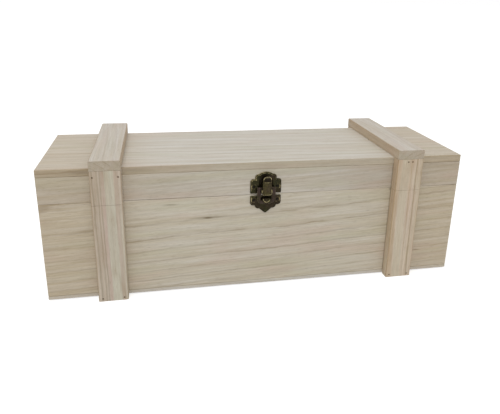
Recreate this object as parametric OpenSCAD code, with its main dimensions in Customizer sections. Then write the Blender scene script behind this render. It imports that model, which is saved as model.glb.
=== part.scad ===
// Wooden wine box for one bottle, with a lid, crating battens, two butt hinges and a toggle latch.
// Millimetres. X runs along the box, the front faces -Y, and Z is up from the batten ends that it
// stands on. The origin is under the middle of the body. The lid is shut and latched.

/* [Box] */
// Length of the body over the end faces
body_l = 350; // [300:5:420]
// Depth of the body over the front and back faces
body_d = 105; // [98:1:140]
// Height of the body, from its underside to the top of the lid
body_h = 110; // [100:1:150]
// Height of the lid, from its lower edge to its top
lid_h = 27.5; // [24:0.5:45]
// Thickness of the four walls
wall_t = 7; // [6:0.5:10]
// Thickness of the top panel, which lies over the lid's walls
top_t = 6; // [4:0.5:9]
// Thickness of the bottom panel, which lies under the base's walls
bottom_t = 3; // [2:0.5:6]
// Saw cut left open between the base and the shut lid
saw_gap = 0.3; // [0.2:0.1:1]

/* [Battens] */
// Width of a batten
batten_w = 23.3; // [22:0.1:30]
// Thickness of a batten
batten_t = 8; // [7:0.5:12]
// From an end face of the body to the nearer edge of a batten
batten_inset = 39.6; // [10:0.2:70]
// How far the battens reach below the body, as feet
batten_drop = 0.8; // [0.4:0.1:8]
// Radius of a batten's outer long edges
batten_ease = 0.8; // [0.2:0.1:2]

/* [Brads] */
// Radius of a headless brad
brad_r = 0.5; // [0.4:0.05:0.7]
// Length of a brad
brad_l = 13; // [11:0.5:14]
// Depth that a brad is set below the face
brad_set = 0.2; // [0.1:0.1:1]
// Distance between the two brads at the foot of a base batten
foot_brad_pair = 16.8; // [4:0.2:19]
// Distance between the two brads in a batten at the left of the lid
left_brad_pair = 18.8; // [4:0.2:19]
// Distance between the two brads in a batten at the right of the lid
right_brad_pair = 3.8; // [3:0.2:19]
// From the underside of the top panel up to the brads at the left of the lid
left_brad_rise = 0.9; // [0.8:0.1:3]

/* [Hinges] */
// Length of a hinge along its pin
hinge_w = 18; // [14:1:19]
// Height of one leaf, from the pin's axis to its far edge
leaf_h = 10; // [8.5:0.5:14]
// Thickness of a leaf
leaf_t = 0.8; // [0.6:0.1:1.2]
// Outer radius of a knuckle
knuckle_r = 1.6; // [1.5:0.1:2]
// Radius of the hinge pin
hinge_pin_r = 0.8; // [0.6:0.05:0.9]
// Radius of the hinge pin's burred heads
hinge_head_r = 1.3; // [1.1:0.05:1.4]
// Thickness of the hinge pin's heads
hinge_head_t = 0.5; // [0.3:0.1:1]
// Space between neighbouring knuckles
knuckle_gap = 0.3; // [0.2:0.1:0.6]
// Space between the knuckles and the face that the leaves lie on
knuckle_lift = 0.1; // [0.05:0.05:0.4]
// Corner radius of a leaf
leaf_corner_r = 1.4; // [0.5:0.1:2.5]
// From a leaf's side edge to its nails
leaf_nail_edge = 4; // [3:0.1:6]

/* [Latch plates] */
// Distance of the latch from the middle of the body
latch_x = 1; // [-20:1:20]
// Thickness of the two stamped plates
plate_t = 0.9; // [0.6:0.1:1.2]
// Half of the width of both plates
plate_half_w = 12.9; // [12:0.1:14]
// From the seam's centre to the near edge of each plate
plate_gap = 1; // [0.6:0.1:2]
// Height of the lid plate's side ears above the seam
lid_ear_v = 13.4; // [11:0.1:14]
// Height of the lid plate's crest above the seam
crest_v = 19.8; // [19:0.1:21]
// Radius of the lid plate's dome
dome_r = 9.6; // [8:0.1:10.4]
// Depth of the base plate's side ears below the seam
base_ear_v = 9.4; // [8.6:0.1:10.4]
// Depth of the base plate's point below the seam
point_v = 16.2; // [14.5:0.1:18]
// Height of the pressed bulges on the lid plate
bulge_h = 1.2; // [0.6:0.1:1.4]
// Distance of the bulges from the latch's middle
bulge_u = 6.6; // [6:0.1:7.2]
// Length of the bulges between the centres of their round ends
bulge_l = 4; // [2:0.1:5]
// Radius that the bulges are pressed to
bulge_r = 3.2; // [2.6:0.1:4]
// Radius of the lobes on the shoulders of the lid plate's dome
shoulder_r = 2.6; // [1.8:0.1:3]
// Radius of the lobes under the base plate's ears
foot_lobe_r = 2.9; // [2.4:0.1:3.3]
// Width of the base plate's point at its root, between the lobes
point_w = 13; // [9:0.2:14]

/* [Latch lever] */
// Height of the lever's pivot above the seam
pivot_v = 4; // [3.8:0.1:4.4]
// Distance of the lever's pivot from the wood
pivot_h = 4.5; // [4.3:0.1:5]
// Radius of the lever's pivot pin
pivot_r = 0.7; // [0.5:0.05:0.8]
// Width of the lever
lever_w = 7.2; // [6.4:0.1:7.6]
// Thickness of the sheet that the lever is bent from
lever_t = 0.7; // [0.5:0.05:0.9]
// Radius of the lever's foot round its pivot
lever_foot_r = 2.2; // [2:0.1:2.6]
// Height of the lever's lower edge above the seam
lever_foot_v = 1.3; // [1.2:0.05:1.7]
// Height of the lever's tip above the seam
lever_tip_v = 17.8; // [16.5:0.1:19]
// Distance of the lever's tip from the wood
lever_tip_h = 8.7; // [8:0.1:9.4]
// Depth of the trough pressed into the lever's face
trough_d = 0.7; // [0.4:0.05:0.8]
// Thickness of the two ears that carry the pivot pin
ear_t = 0.75; // [0.5:0.05:0.9]
// Radius of the ears round the pivot pin
ear_r = 1.7; // [1.5:0.05:1.8]

/* [Latch bail] */
// Width of the bail's arms and crossbar
bail_w = 3.2; // [2.6:0.1:3.4]
// Thickness of the bail
bail_t = 1.3; // [1:0.1:1.5]
// Height that the bail's face is crowned
bail_crown = 0.4; // [0.2:0.05:0.6]
// Radius of the bail's inner corners
bail_corner_r = 1.6; // [1:0.1:2.5]
// Distance of the bail's trunnions from the lever's pivot, along the lever
trunnion_v = 2.73; // [2.6:0.01:2.9]
// Distance that the trunnions lie inside the pivot, towards the wood
trunnion_h = 0.35; // [0.1:0.05:0.5]
// Radius of the trunnions
trunnion_r = 0.55; // [0.45:0.05:0.6]
// Depth of the bail's lower edge below the seam
bail_foot_v = 7.4; // [7.2:0.1:7.8]
// Distance of the bail's crossbar from the wood, at its middle
bail_foot_h = 3.05; // [2.8:0.05:3.2]

/* [Latch hook] */
// Width of the hook
hook_w = 6.8; // [5.5:0.1:7]
// Thickness of the hook's tongue
hook_t = 0.8; // [0.6:0.1:1]
// Distance of the hook's inner face from the wood
hook_h = 4.75; // [4.6:0.05:5.2]
// Depth of the hook's tip below the seam
hook_tip_v = 6.3; // [5.8:0.1:6.4]
// How far the hook's tip flares outwards
hook_flare = 0.7; // [0.3:0.1:1]

/* [Fits] */
// Radial clearance of pins that turn in a bore
run_fit = 0.05; // [0.02:0.01:0.08]
// Radial clearance of nails, brads and fixed pins in their holes
nail_fit = 0.02; // [0.01:0.01:0.05]
// Side clearance between the lever, its ears and the bail
side_fit = 0.08; // [0.05:0.01:0.15]

/* [Latch and hinge nails] */
// Radius of a nail's shank
nail_r = 0.6; // [0.4:0.05:0.7]
// Radius of a nail's head
nail_head_r = 1.1; // [0.9:0.05:1.3]
// Height of a nail's head
nail_head_t = 0.45; // [0.3:0.05:0.6]
// Length of a nail under its head
nail_l = 6; // [4:0.5:6]

/* [Hidden] */
$fn = 48;
// Overlap of a cutting shape past the face that it cuts
cut = 1;

// Heights
body_z = batten_drop;
top_z = body_z + body_h;
panel_z = top_z - top_t;
floor_z = body_z + bottom_t;
lid_z = top_z - lid_h;
rim_z = lid_z - saw_gap;
seam_z = lid_z - saw_gap / 2;

// Faces of the body and of the battens
face_y = body_d / 2;
batten_y = face_y + batten_t;
end_x = body_l / 2;
batten_x = end_x - batten_inset - batten_w / 2;

// Brads: they go into the edges of the bottom and the top panel
right_brad_share = 0.6;
foot_brad_z = body_z + bottom_t / 2;
left_brad_z = panel_z + left_brad_rise;
right_brad_z = panel_z + right_brad_share * top_t;

// Hinge axis and knuckles: two of the base leaf outside one of the lid leaf
hinge_y = batten_y + knuckle_lift + knuckle_r;
knuckle_l = (hinge_w - 2 * knuckle_gap) / 3;
pin_l = hinge_w + 2 * run_fit + 2 * hinge_head_t;
leaf_nail_dx = hinge_w / 2 - leaf_nail_edge;
leaf_nail_z = (knuckle_r + knuckle_gap + leaf_h) / 2;

// Latch: u runs along X, v up from the seam and h out of the wood
latch_nail_u = plate_half_w - 3.1;
lid_nail_v = 6.9;
base_nail_v = -4.6;
crest_rise = 0.3;
crest_r = 2.6;
dome_v = crest_v - crest_rise - dome_r;
lid_dimple_v = 3.7;
base_dimple_v = -7.3;
dimple_r = 0.8;
dimple_h = 0.3;
shoulder_at = [6.4, lid_ear_v + 1.5];
foot_lobe_at = [6, -base_ear_v];
point_root_v = -base_ear_v - 1.8;
point_tip_w = 1.2;
bulge_v = lid_nail_v + 1.5;
ear_corner_r = 2.4;

// Hook: an arch out of the plate, a straight leg and a flared lip
hook_arch = 2.6;
hook_root = hook_t + 0.4;
hook_lip = 1.2;
hook_rim = 0.9;
hook_dish = 0.35;
arch_steps = 10;

// Lever: straight from its foot up to where it flares
flare_l = 4.4;
flare_v = lever_tip_v - flare_l;
face_foot_h = pivot_h + lever_foot_r;
face_flare_h = face_foot_h + 0.5;
back_foot_h = pivot_h - lever_foot_r;
back_flare_h = face_flare_h - 2.6;
lip_t = 0.9;
lever_sheet = trough_d + lever_t;
foot_rim = 0.6;
lever_corner_r = lever_w / 2 - 0.3;
flare_steps = 8;

// Ears, bail and hook
ear_u = lever_w / 2 + side_fit;
bail_in_u = ear_u + ear_t + side_fit;
pivot_l = 2 * (ear_u + ear_t);
trunnion_at = [pivot_h - trunnion_h, pivot_v + trunnion_v];
foot_at = [bail_foot_h, bail_w / 2 - bail_foot_v];
bail_l = norm(trunnion_at - foot_at);
bail_lean = atan2(trunnion_at[0] - foot_at[0], trunnion_at[1] - foot_at[1]);
trunnion_in_u = lever_w / 2 - lever_t;
bail_out_r = bail_corner_r + bail_w;
bail_eye_r = bail_t / 2 + 0.1;

WOOD = "#d9c7a3";
BATTEN = "#cdb68e";
BRONZE = "#5d5236";
STEEL = "#77736a";

// ---- Places that several pieces share ----

// Turns the latch's own axes, u v h, into the box's: u along X, v up, h towards the front
module at_latch() {
    translate([latch_x, -face_y, seam_z]) rotate([90, 0, 0]) children();
}

// Extrudes an outline drawn in h and v across the latch, centred on it
module across(width) {
    rotate([0, -90, 0]) linear_extrude(height = width, center = true) children();
}

// Both sides of the latch
module both_u() {
    children();
    mirror([1, 0, 0]) children();
}

// Stands a shape drawn along +Z on the front (side -1) or back (side 1), pointing out of it
module out_of_face(side, x, y, z) {
    translate([x, side * y, z]) rotate([-side * 90, 0, 0]) children();
}

// A hole's cutting shape goes on past the brad's outer end, and the brad itself doesn't
function tip_cut(grow) = grow > 0 ? brad_set + cut : 0;

// Two brads side by side in a front (side -1) or back (side 1) batten, or, with grow, the
// cutting shapes of their holes
module brad_two(side, x, pair, z, grow) {
    for (dx = [-pair / 2, pair / 2])
        out_of_face(side, x + dx, batten_y - brad_set, z)
            translate([0, 0, -brad_l - grow])
                cylinder(r = brad_r + grow, h = brad_l + grow + tip_cut(grow));
}

module base_brads(side, grow) {
    for (x = [-batten_x, batten_x]) brad_two(side, x, foot_brad_pair, foot_brad_z, grow);
}

module lid_brads(side, grow) {
    brad_two(side, -batten_x, left_brad_pair, left_brad_z, grow);
    brad_two(side, batten_x, right_brad_pair, right_brad_z, grow);
}

// A round-headed nail driven along -Z, with its head's underside at 0
module nail() {
    translate([0, 0, -nail_l]) cylinder(r = nail_r, h = nail_l);
    intersection() {
        cylinder(r = nail_head_r, h = nail_head_t);
        translate([0, 0, nail_head_t - 2 * nail_head_r]) sphere(r = 2 * nail_head_r);
    }
}

// The hole that a nail fills
module nail_hole() {
    translate([0, 0, -nail_l - nail_fit]) cylinder(r = nail_r + nail_fit, h = nail_l + cut);
}

// Places of the latch's nails, on the lid (v of the lid) or on the base
module at_latch_nails(v) {
    for (u = [-latch_nail_u, latch_nail_u])
        at_latch() translate([u, v, plate_t]) children();
}

// Places of a hinge's nails: up is 1 for the lid's leaf and -1 for the base's
module at_leaf_nails(x, up) {
    for (dx = [-leaf_nail_dx, leaf_nail_dx])
        out_of_face(1, x + dx, batten_y + leaf_t, seam_z + up * leaf_nail_z) children();
}

// ---- Boards ----

// A board along the front (side -1) or back (side 1), between two heights
module long_board(side, z0, z1) {
    y0 = side < 0 ? -face_y : face_y - wall_t;
    translate([-end_x, y0, z0]) cube([body_l, wall_t, z1 - z0]);
}

// An end board, between the front and back boards
module end_board(side, z0, z1) {
    x0 = side < 0 ? -end_x : end_x - wall_t;
    translate([x0, wall_t - face_y, z0]) cube([wall_t, body_d - 2 * wall_t, z1 - z0]);
}

// A panel over the whole of the body
module panel(z0, thickness) {
    translate([-end_x, -face_y, z0]) cube([body_l, body_d, thickness]);
}

module base_front_board() {
    color(WOOD) difference() {
        long_board(-1, floor_z, rim_z);
        at_latch_nails(base_nail_v) nail_hole();
    }
}

module base_back_board() {
    color(WOOD) long_board(1, floor_z, rim_z);
}

module bottom_panel() {
    color(WOOD) difference() {
        panel(body_z, bottom_t);
        for (side = [-1, 1]) base_brads(side, nail_fit);
    }
}

module lid_top_panel() {
    color(WOOD) difference() {
        panel(panel_z, top_t);
        for (side = [-1, 1]) lid_brads(side, nail_fit);
    }
}

module lid_front_board() {
    color(WOOD) difference() {
        long_board(-1, lid_z, panel_z);
        at_latch_nails(lid_nail_v) nail_hole();
    }
}

module lid_back_board() {
    color(WOOD) long_board(1, lid_z, panel_z);
}

// ---- Battens ----

// Section of a batten: its outer long edges are rounded and its inner face is flat at y = 0
module batten_section() {
    half = batten_w / 2;
    translate([-half, 0]) square([batten_w, batten_t - batten_ease]);
    translate([-half + batten_ease, 0]) square([batten_w - 2 * batten_ease, batten_t]);
    for (x = [-half + batten_ease, half - batten_ease])
        translate([x, batten_t - batten_ease]) circle(r = batten_ease);
}

// An upright batten on the front (side -1) or back (side 1), between two heights
module upright_batten(side, x, z0, z1) {
    translate([x, side * face_y, z0])
        rotate([0, 0, side < 0 ? 180 : 0])
            linear_extrude(height = z1 - z0) batten_section();
}

module base_batten(side, x) {
    color(BATTEN) difference() {
        upright_batten(side, x, 0, rim_z);
        base_brads(side, nail_fit);
        if (side > 0) at_leaf_nails(x, -1) nail_hole();
    }
}

module lid_batten(side, x) {
    color(BATTEN) difference() {
        upright_batten(side, x, lid_z, top_z);
        lid_brads(side, nail_fit);
        if (side > 0) at_leaf_nails(x, 1) nail_hole();
    }
}

// A batten across the lid, with its ends over the upright battens
module top_batten(x) {
    color(BATTEN) translate([x, batten_y, top_z])
        rotate([90, 0, 0]) linear_extrude(height = 2 * batten_y) batten_section();
}

// ---- Hinges ----

// One knuckle's tube about the hinge axis, from x0 on
module knuckle(x0, length, radius) {
    translate([x0, hinge_y, seam_z]) rotate([0, 90, 0]) cylinder(r = radius, h = length);
}

// Leaf with its outer corners rounded, from the axis up or down, and without its knuckles
module leaf_blank(x, up) {
    inner_h = leaf_h - leaf_corner_r;
    half = hinge_w / 2;
    translate([x, batten_y, seam_z]) mirror([0, 0, up < 0 ? 1 : 0])
        rotate([-90, 0, 0]) mirror([0, 1, 0]) linear_extrude(height = leaf_t) {
            translate([-half, 0]) square([hinge_w, inner_h]);
            translate([-half + leaf_corner_r, 0]) square([hinge_w - 2 * leaf_corner_r, leaf_h]);
            for (dx = [-half + leaf_corner_r, half - leaf_corner_r])
                translate([dx, inner_h]) circle(r = leaf_corner_r);
        }
}

// The middle third of a hinge, where the lid leaf's knuckle is, wider by grow on each side
module middle_slot(x, radius, grow) {
    knuckle(x - knuckle_l / 2 - grow, knuckle_l + 2 * grow, radius);
}

// The two outer thirds of a hinge, where the base leaf's knuckles are
module outer_slots(x, radius, grow) {
    for (x0 = [x - hinge_w / 2 - grow, x + hinge_w / 2 - knuckle_l - grow])
        knuckle(x0, knuckle_l + 2 * grow, radius);
}

module hinge_bore(x) {
    knuckle(x - hinge_w / 2 - cut, hinge_w + 2 * cut, hinge_pin_r + run_fit);
}

// The leaf on the base carries the two outer knuckles
module base_leaf(x) {
    color(BRONZE) difference() {
        union() {
            difference() {
                leaf_blank(x, -1);
                middle_slot(x, knuckle_r + knuckle_gap, knuckle_gap);
            }
            outer_slots(x, knuckle_r, 0);
        }
        hinge_bore(x);
        at_leaf_nails(x, -1) nail_hole();
    }
}

// The leaf on the lid carries the middle knuckle
module lid_leaf(x) {
    color(BRONZE) difference() {
        union() {
            difference() {
                leaf_blank(x, 1);
                outer_slots(x, knuckle_r + knuckle_gap, knuckle_gap);
            }
            middle_slot(x, knuckle_r, 0);
        }
        hinge_bore(x);
        at_leaf_nails(x, 1) nail_hole();
    }
}

// Pin through all three knuckles, with a burred head at each end
module hinge_pin(x) {
    half = hinge_w / 2;
    color(BRONZE) {
        knuckle(x - half - run_fit - hinge_head_t, hinge_head_t, hinge_head_r);
        knuckle(x - pin_l / 2, pin_l, hinge_pin_r);
        knuckle(x + half + run_fit, hinge_head_t, hinge_head_r);
    }
}

// ---- Latch plates ----

// A rounded ear at the side of a plate, from v0 to v1, with its outer corner at v1 rounded
module plate_ear(v0, v1) {
    low = min(v0, v1);
    span = abs(v1 - v0);
    inner_v = v1 > v0 ? v1 - ear_corner_r : v1 + ear_corner_r;
    square_low = v1 > v0 ? v0 : inner_v;
    translate([0, low]) square([plate_half_w - ear_corner_r, span]);
    translate([0, square_low]) square([plate_half_w, span - ear_corner_r]);
    translate([plate_half_w - ear_corner_r, inner_v]) circle(r = ear_corner_r);
}

// Outline of the lid plate: two ears, and a dome with a lobe on each shoulder and a crest
module lid_plate_outline() {
    both_u() plate_ear(plate_gap, lid_ear_v);
    intersection() {
        translate([0, dome_v]) circle(r = dome_r);
        translate([-dome_r, plate_gap]) square([2 * dome_r, crest_v]);
    }
    both_u() translate(shoulder_at) circle(r = shoulder_r);
    translate([0, crest_v - crest_r]) circle(r = crest_r);
}

// Outline of the base plate: two ears, a lobe under each, and a point in the middle
module base_plate_outline() {
    both_u() plate_ear(-plate_gap, -base_ear_v);
    both_u() translate(foot_lobe_at) circle(r = foot_lobe_r);
    polygon([
        [-point_w / 2, ear_corner_r - base_ear_v], [point_w / 2, ear_corner_r - base_ear_v],
        [point_w / 2, point_root_v], [point_tip_w / 2, -point_v],
        [-point_tip_w / 2, -point_v], [-point_w / 2, point_root_v]
    ]);
}

// What of a sunk shape stands out of a plate, from the middle of the plate's thickness up
module pressed_out() {
    intersection() {
        children();
        translate([0, -point_v, plate_t / 2]) cube([plate_half_w, point_v + crest_v, crest_v]);
    }
}

// A long bulge pressed out of the plate, as the top of a sunk capsule
module bulge() {
    pressed_out() translate([bulge_u, bulge_v, plate_t + bulge_h - bulge_r]) {
        sphere(r = bulge_r);
        rotate([-90, 0, 0]) cylinder(r = bulge_r, h = bulge_l);
        translate([0, bulge_l, 0]) sphere(r = bulge_r);
    }
}

// A small round dimple beside a nail
module dimple(v) {
    pressed_out() translate([latch_nail_u, v, plate_t + dimple_h - dimple_r]) sphere(r = dimple_r);
}

// An ear that stands out of the lid plate and carries the pivot pin
module pivot_ear() {
    translate([ear_u + ear_t / 2, 0, 0]) across(ear_t) {
        translate([plate_t / 2, pivot_v - ear_r]) square([pivot_h - plate_t / 2, 2 * ear_r]);
        translate([pivot_h, pivot_v]) circle(r = ear_r);
    }
}

module latch_lid_plate() {
    color(BRONZE) difference() {
        at_latch() {
            linear_extrude(height = plate_t) lid_plate_outline();
            both_u() bulge();
            both_u() dimple(lid_dimple_v);
            both_u() pivot_ear();
        }
        at_latch() translate([0, pivot_v, pivot_h])
            rotate([0, 90, 0]) cylinder(r = pivot_r + nail_fit, h = pivot_l + 2 * cut, center = true);
        at_latch_nails(lid_nail_v) nail_hole();
    }
}

// ---- Latch hook, part of the base plate ----

// Side view of the tongue, outer face: it leaves the plate, arches out and turns down
function hook_out(t) = [
    plate_t / 2 + (hook_h + hook_t - plate_t / 2) * sin(90 * t),
    -plate_gap - hook_arch * (1 - cos(90 * t))
];

// Its inner face, which the bail's crossbar lies under
function hook_in(t) = [
    plate_t / 2 + (hook_h - plate_t / 2) * sin(90 * t),
    -plate_gap - hook_root - (hook_arch - hook_root + hook_t) * (1 - cos(90 * t))
];

module hook_side() {
    lip_out = [hook_h + hook_t, hook_lip - hook_tip_v];
    lip_in = [hook_h, hook_lip - hook_flare / 2 - hook_tip_v];
    tip_out = [hook_h + hook_t + hook_flare, hook_flare / 2 - hook_tip_v];
    tip_in = [hook_h + hook_flare, -hook_tip_v];
    polygon(concat(
        [for (i = [0:arch_steps]) hook_out(i / arch_steps)],
        [lip_out, tip_out, tip_in, lip_in],
        [for (i = [arch_steps:-1:0]) hook_in(i / arch_steps)]
    ));
}

// Front view of the tongue, a rounded U, smaller by inset all round
module hook_front(inset) {
    half = hook_w / 2 - inset;
    centre_v = hook_w / 2 - hook_tip_v;
    translate([-half, centre_v]) square([2 * half, -centre_v]);
    translate([0, centre_v]) circle(r = half);
}

// The tongue is dished between its rims, below its arch
module hook() {
    difference() {
        intersection() {
            across(hook_w) hook_side();
            linear_extrude(height = 2 * hook_h) hook_front(0);
        }
        translate([0, 0, hook_h + hook_t - hook_dish])
            linear_extrude(height = hook_h) intersection() {
                hook_front(hook_rim);
                translate([-hook_w / 2, -hook_tip_v])
                    square([hook_w, hook_tip_v - plate_gap - hook_arch]);
            }
    }
}

module latch_base_plate() {
    color(BRONZE) difference() {
        at_latch() {
            linear_extrude(height = plate_t) base_plate_outline();
            both_u() dimple(base_dimple_v);
            hook();
        }
        at_latch_nails(base_nail_v) nail_hole();
    }
}

// ---- Latch lever ----

// Distance of the lever's face from the wood at height v: straight, then a parabola outwards
function lever_face(v) =
    let (rise = (v - pivot_v) / (flare_v - pivot_v),
         flare = max(0, (v - flare_v) / (lever_tip_v - flare_v)),
         straight = face_foot_h + (face_flare_h - face_foot_h) * min(1, rise))
    straight + (lever_tip_h - face_flare_h) * flare * flare;

// Distance of the back edge of the lever's sides from the wood
function lever_back(v) =
    let (rise = (v - pivot_v) / (flare_v - pivot_v),
         flare = max(0, (v - flare_v) / (lever_tip_v - flare_v)),
         straight = back_foot_h + (back_flare_h - back_foot_h) * min(1, rise))
    straight + (lever_tip_h - lip_t - back_flare_h) * (1 - (1 - flare) * (1 - flare));

// Heights at which the lever's side view has points
lever_vs = concat(
    [pivot_v],
    [for (i = [0:flare_steps]) flare_v + (lever_tip_v - flare_v) * i / flare_steps]
);

// The side view: a disc round the pivot, the sheet's lower end in front of it, and the sides
module lever_side() {
    intersection() {
        translate([pivot_h, pivot_v]) circle(r = lever_foot_r);
        translate([0, pivot_v - 2 * lever_foot_r]) square([2 * pivot_h, 2 * lever_foot_r]);
    }
    translate([face_foot_h - lever_sheet, lever_foot_v])
        square([lever_sheet, pivot_v - lever_foot_v]);
    polygon(concat(
        [for (v = lever_vs) [lever_face(v), v]],
        [for (i = [len(lever_vs) - 1:-1:0]) [lever_back(lever_vs[i]), lever_vs[i]]]
    ));
}

// The hollow at the back of the bent sheet, open towards the wood and closed round the pin
module lever_hollow() {
    foot_v = pivot_v + pivot_r + lever_t;
    roof_h = face_flare_h - lever_sheet;
    polygon([
        [0, foot_v], [lever_face(foot_v) - lever_sheet, foot_v],
        [roof_h, flare_v], [roof_h, lever_tip_v], [0, lever_tip_v]
    ]);
}

// The trough in the lever's face
module lever_trough() {
    foot_v = lever_foot_v + foot_rim;
    polygon(concat(
        [[lever_face(pivot_v) - trough_d, foot_v]],
        [for (v = lever_vs) [lever_face(v) - trough_d, v]],
        [[2 * lever_tip_h, lever_tip_v], [2 * lever_tip_h, foot_v]]
    ));
}

// Front view of the lever, with a rounded top, smaller by inset all round
module lever_front(inset) {
    half = lever_w / 2 - inset;
    top_v = lever_tip_v - inset;
    corner = lever_corner_r - inset;
    translate([-half, 0]) square([2 * half, top_v - corner]);
    translate([corner - half, 0]) square([2 * (half - corner), top_v]);
    for (u = [corner - half, half - corner])
        translate([u, top_v - corner]) circle(r = corner);
}

module latch_lever() {
    color(BRONZE) at_latch() difference() {
        intersection() {
            across(lever_w) lever_side();
            linear_extrude(height = 2 * lever_tip_h) lever_front(0);
        }
        across(lever_w - 2 * lever_t) lever_hollow();
        intersection() {
            across(lever_w) lever_trough();
            linear_extrude(height = 4 * lever_tip_h) lever_front(lever_t);
        }
        translate([0, pivot_v, pivot_h]) rotate([0, 90, 0])
            cylinder(r = pivot_r + run_fit, h = lever_w + cut, center = true);
        translate([0, trunnion_at[1], trunnion_at[0]]) rotate([0, 90, 0])
            cylinder(r = trunnion_r + run_fit, h = lever_w + cut, center = true);
    }
}

module latch_pivot_pin() {
    color(STEEL) at_latch() translate([0, pivot_v, pivot_h])
        rotate([0, 90, 0]) cylinder(r = pivot_r, h = pivot_l, center = true);
}

// ---- Latch bail, in its own axes: the trunnions at 0 and the arms along -v ----

// Section of the bail, from its inner edge outwards, with a crowned face
module bail_section() {
    side_t = bail_t - bail_crown;
    crown_r = (bail_w * bail_w / 4 + bail_crown * bail_crown) / (2 * bail_crown);
    translate([0, -bail_t / 2]) {
        square([bail_w, side_t]);
        intersection() {
            translate([bail_w / 2, bail_t - crown_r]) circle(r = crown_r, $fn = 96);
            square([bail_w, bail_t]);
        }
    }
}

// One arm, with its rounded top round the trunnion and the trunnion itself
module bail_arm() {
    arm_l = bail_l + bail_w / 2 - bail_out_r;
    translate([bail_in_u, 0, 0]) {
        rotate([90, 0, 0]) linear_extrude(height = arm_l) bail_section();
        rotate([0, 90, 0]) cylinder(r = bail_eye_r, h = bail_w);
    }
    translate([trunnion_in_u, 0, 0]) rotate([0, 90, 0])
        cylinder(r = trunnion_r, h = bail_in_u - trunnion_in_u + cut);
}

// A quarter turn from an arm into the crossbar
module bail_corner() {
    translate([bail_in_u - bail_corner_r, bail_out_r - bail_l - bail_w / 2, 0])
        rotate([0, 0, -90]) rotate_extrude(angle = 90)
            translate([bail_corner_r, 0]) bail_section();
}

module bail_crossbar() {
    half = bail_in_u - bail_corner_r;
    translate([half, bail_w / 2 - bail_l, 0]) rotate([0, 0, -90])
        rotate([90, 0, 0]) linear_extrude(height = 2 * half) bail_section();
}

module latch_bail() {
    color(BRONZE) at_latch()
        translate([0, trunnion_at[1], trunnion_at[0]]) rotate([bail_lean, 0, 0]) {
            both_u() bail_arm();
            both_u() bail_corner();
            bail_crossbar();
        }
}

// ---- The separate pieces ----

module base_left_end() { color(WOOD) end_board(-1, floor_z, rim_z); }
module base_right_end() { color(WOOD) end_board(1, floor_z, rim_z); }
module lid_left_end() { color(WOOD) end_board(-1, lid_z, panel_z); }
module lid_right_end() { color(WOOD) end_board(1, lid_z, panel_z); }

module base_front_batten_left() { base_batten(-1, -batten_x); }
module base_front_batten_right() { base_batten(-1, batten_x); }
module base_back_batten_left() { base_batten(1, -batten_x); }
module base_back_batten_right() { base_batten(1, batten_x); }
module lid_front_batten_left() { lid_batten(-1, -batten_x); }
module lid_front_batten_right() { lid_batten(-1, batten_x); }
module lid_back_batten_left() { lid_batten(1, -batten_x); }
module lid_back_batten_right() { lid_batten(1, batten_x); }
module top_batten_left() { top_batten(-batten_x); }
module top_batten_right() { top_batten(batten_x); }

module base_batten_brads() {
    color(STEEL) for (side = [-1, 1]) base_brads(side, 0);
}

module lid_batten_brads() {
    color(STEEL) for (side = [-1, 1]) lid_brads(side, 0);
}

module hinge_left_base_leaf() { base_leaf(-batten_x); }
module hinge_right_base_leaf() { base_leaf(batten_x); }
module hinge_left_lid_leaf() { lid_leaf(-batten_x); }
module hinge_right_lid_leaf() { lid_leaf(batten_x); }
module hinge_left_pin() { hinge_pin(-batten_x); }
module hinge_right_pin() { hinge_pin(batten_x); }

module hinge_base_nails() {
    color(BRONZE) for (x = [-batten_x, batten_x]) at_leaf_nails(x, -1) nail();
}

module hinge_lid_nails() {
    color(BRONZE) for (x = [-batten_x, batten_x]) at_leaf_nails(x, 1) nail();
}

module latch_base_nails() { color(BRONZE) at_latch_nails(base_nail_v) nail(); }
module latch_lid_nails() { color(BRONZE) at_latch_nails(lid_nail_v) nail(); }

base_front_board();
base_back_board();
base_left_end();
base_right_end();
bottom_panel();
base_front_batten_left();
base_front_batten_right();
base_back_batten_left();
base_back_batten_right();
base_batten_brads();
lid_top_panel();
lid_front_board();
lid_back_board();
lid_left_end();
lid_right_end();
top_batten_left();
top_batten_right();
lid_front_batten_left();
lid_front_batten_right();
lid_back_batten_left();
lid_back_batten_right();
lid_batten_brads();
hinge_left_base_leaf();
hinge_right_base_leaf();
hinge_left_pin();
hinge_right_pin();
hinge_left_lid_leaf();
hinge_right_lid_leaf();
hinge_base_nails();
hinge_lid_nails();
latch_base_plate();
latch_base_nails();
latch_lid_plate();
latch_lid_nails();
latch_pivot_pin();
latch_lever();
latch_bail();
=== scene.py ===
import math

import bpy
import numpy as np
from mathutils import Matrix, Vector


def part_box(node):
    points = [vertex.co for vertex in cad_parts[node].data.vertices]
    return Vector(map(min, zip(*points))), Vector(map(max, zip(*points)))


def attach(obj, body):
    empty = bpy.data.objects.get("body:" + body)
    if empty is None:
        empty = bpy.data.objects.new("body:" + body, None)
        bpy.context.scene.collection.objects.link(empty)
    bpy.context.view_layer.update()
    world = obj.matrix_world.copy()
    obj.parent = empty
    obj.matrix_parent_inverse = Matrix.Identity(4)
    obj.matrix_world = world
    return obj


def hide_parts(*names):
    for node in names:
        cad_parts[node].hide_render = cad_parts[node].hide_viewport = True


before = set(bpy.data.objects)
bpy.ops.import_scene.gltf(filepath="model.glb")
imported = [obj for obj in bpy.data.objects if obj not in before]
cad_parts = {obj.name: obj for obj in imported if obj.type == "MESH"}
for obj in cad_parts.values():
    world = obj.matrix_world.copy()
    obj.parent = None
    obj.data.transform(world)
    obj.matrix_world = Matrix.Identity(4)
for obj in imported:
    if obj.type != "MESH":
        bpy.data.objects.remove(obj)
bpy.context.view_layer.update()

MM = 0.001

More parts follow.
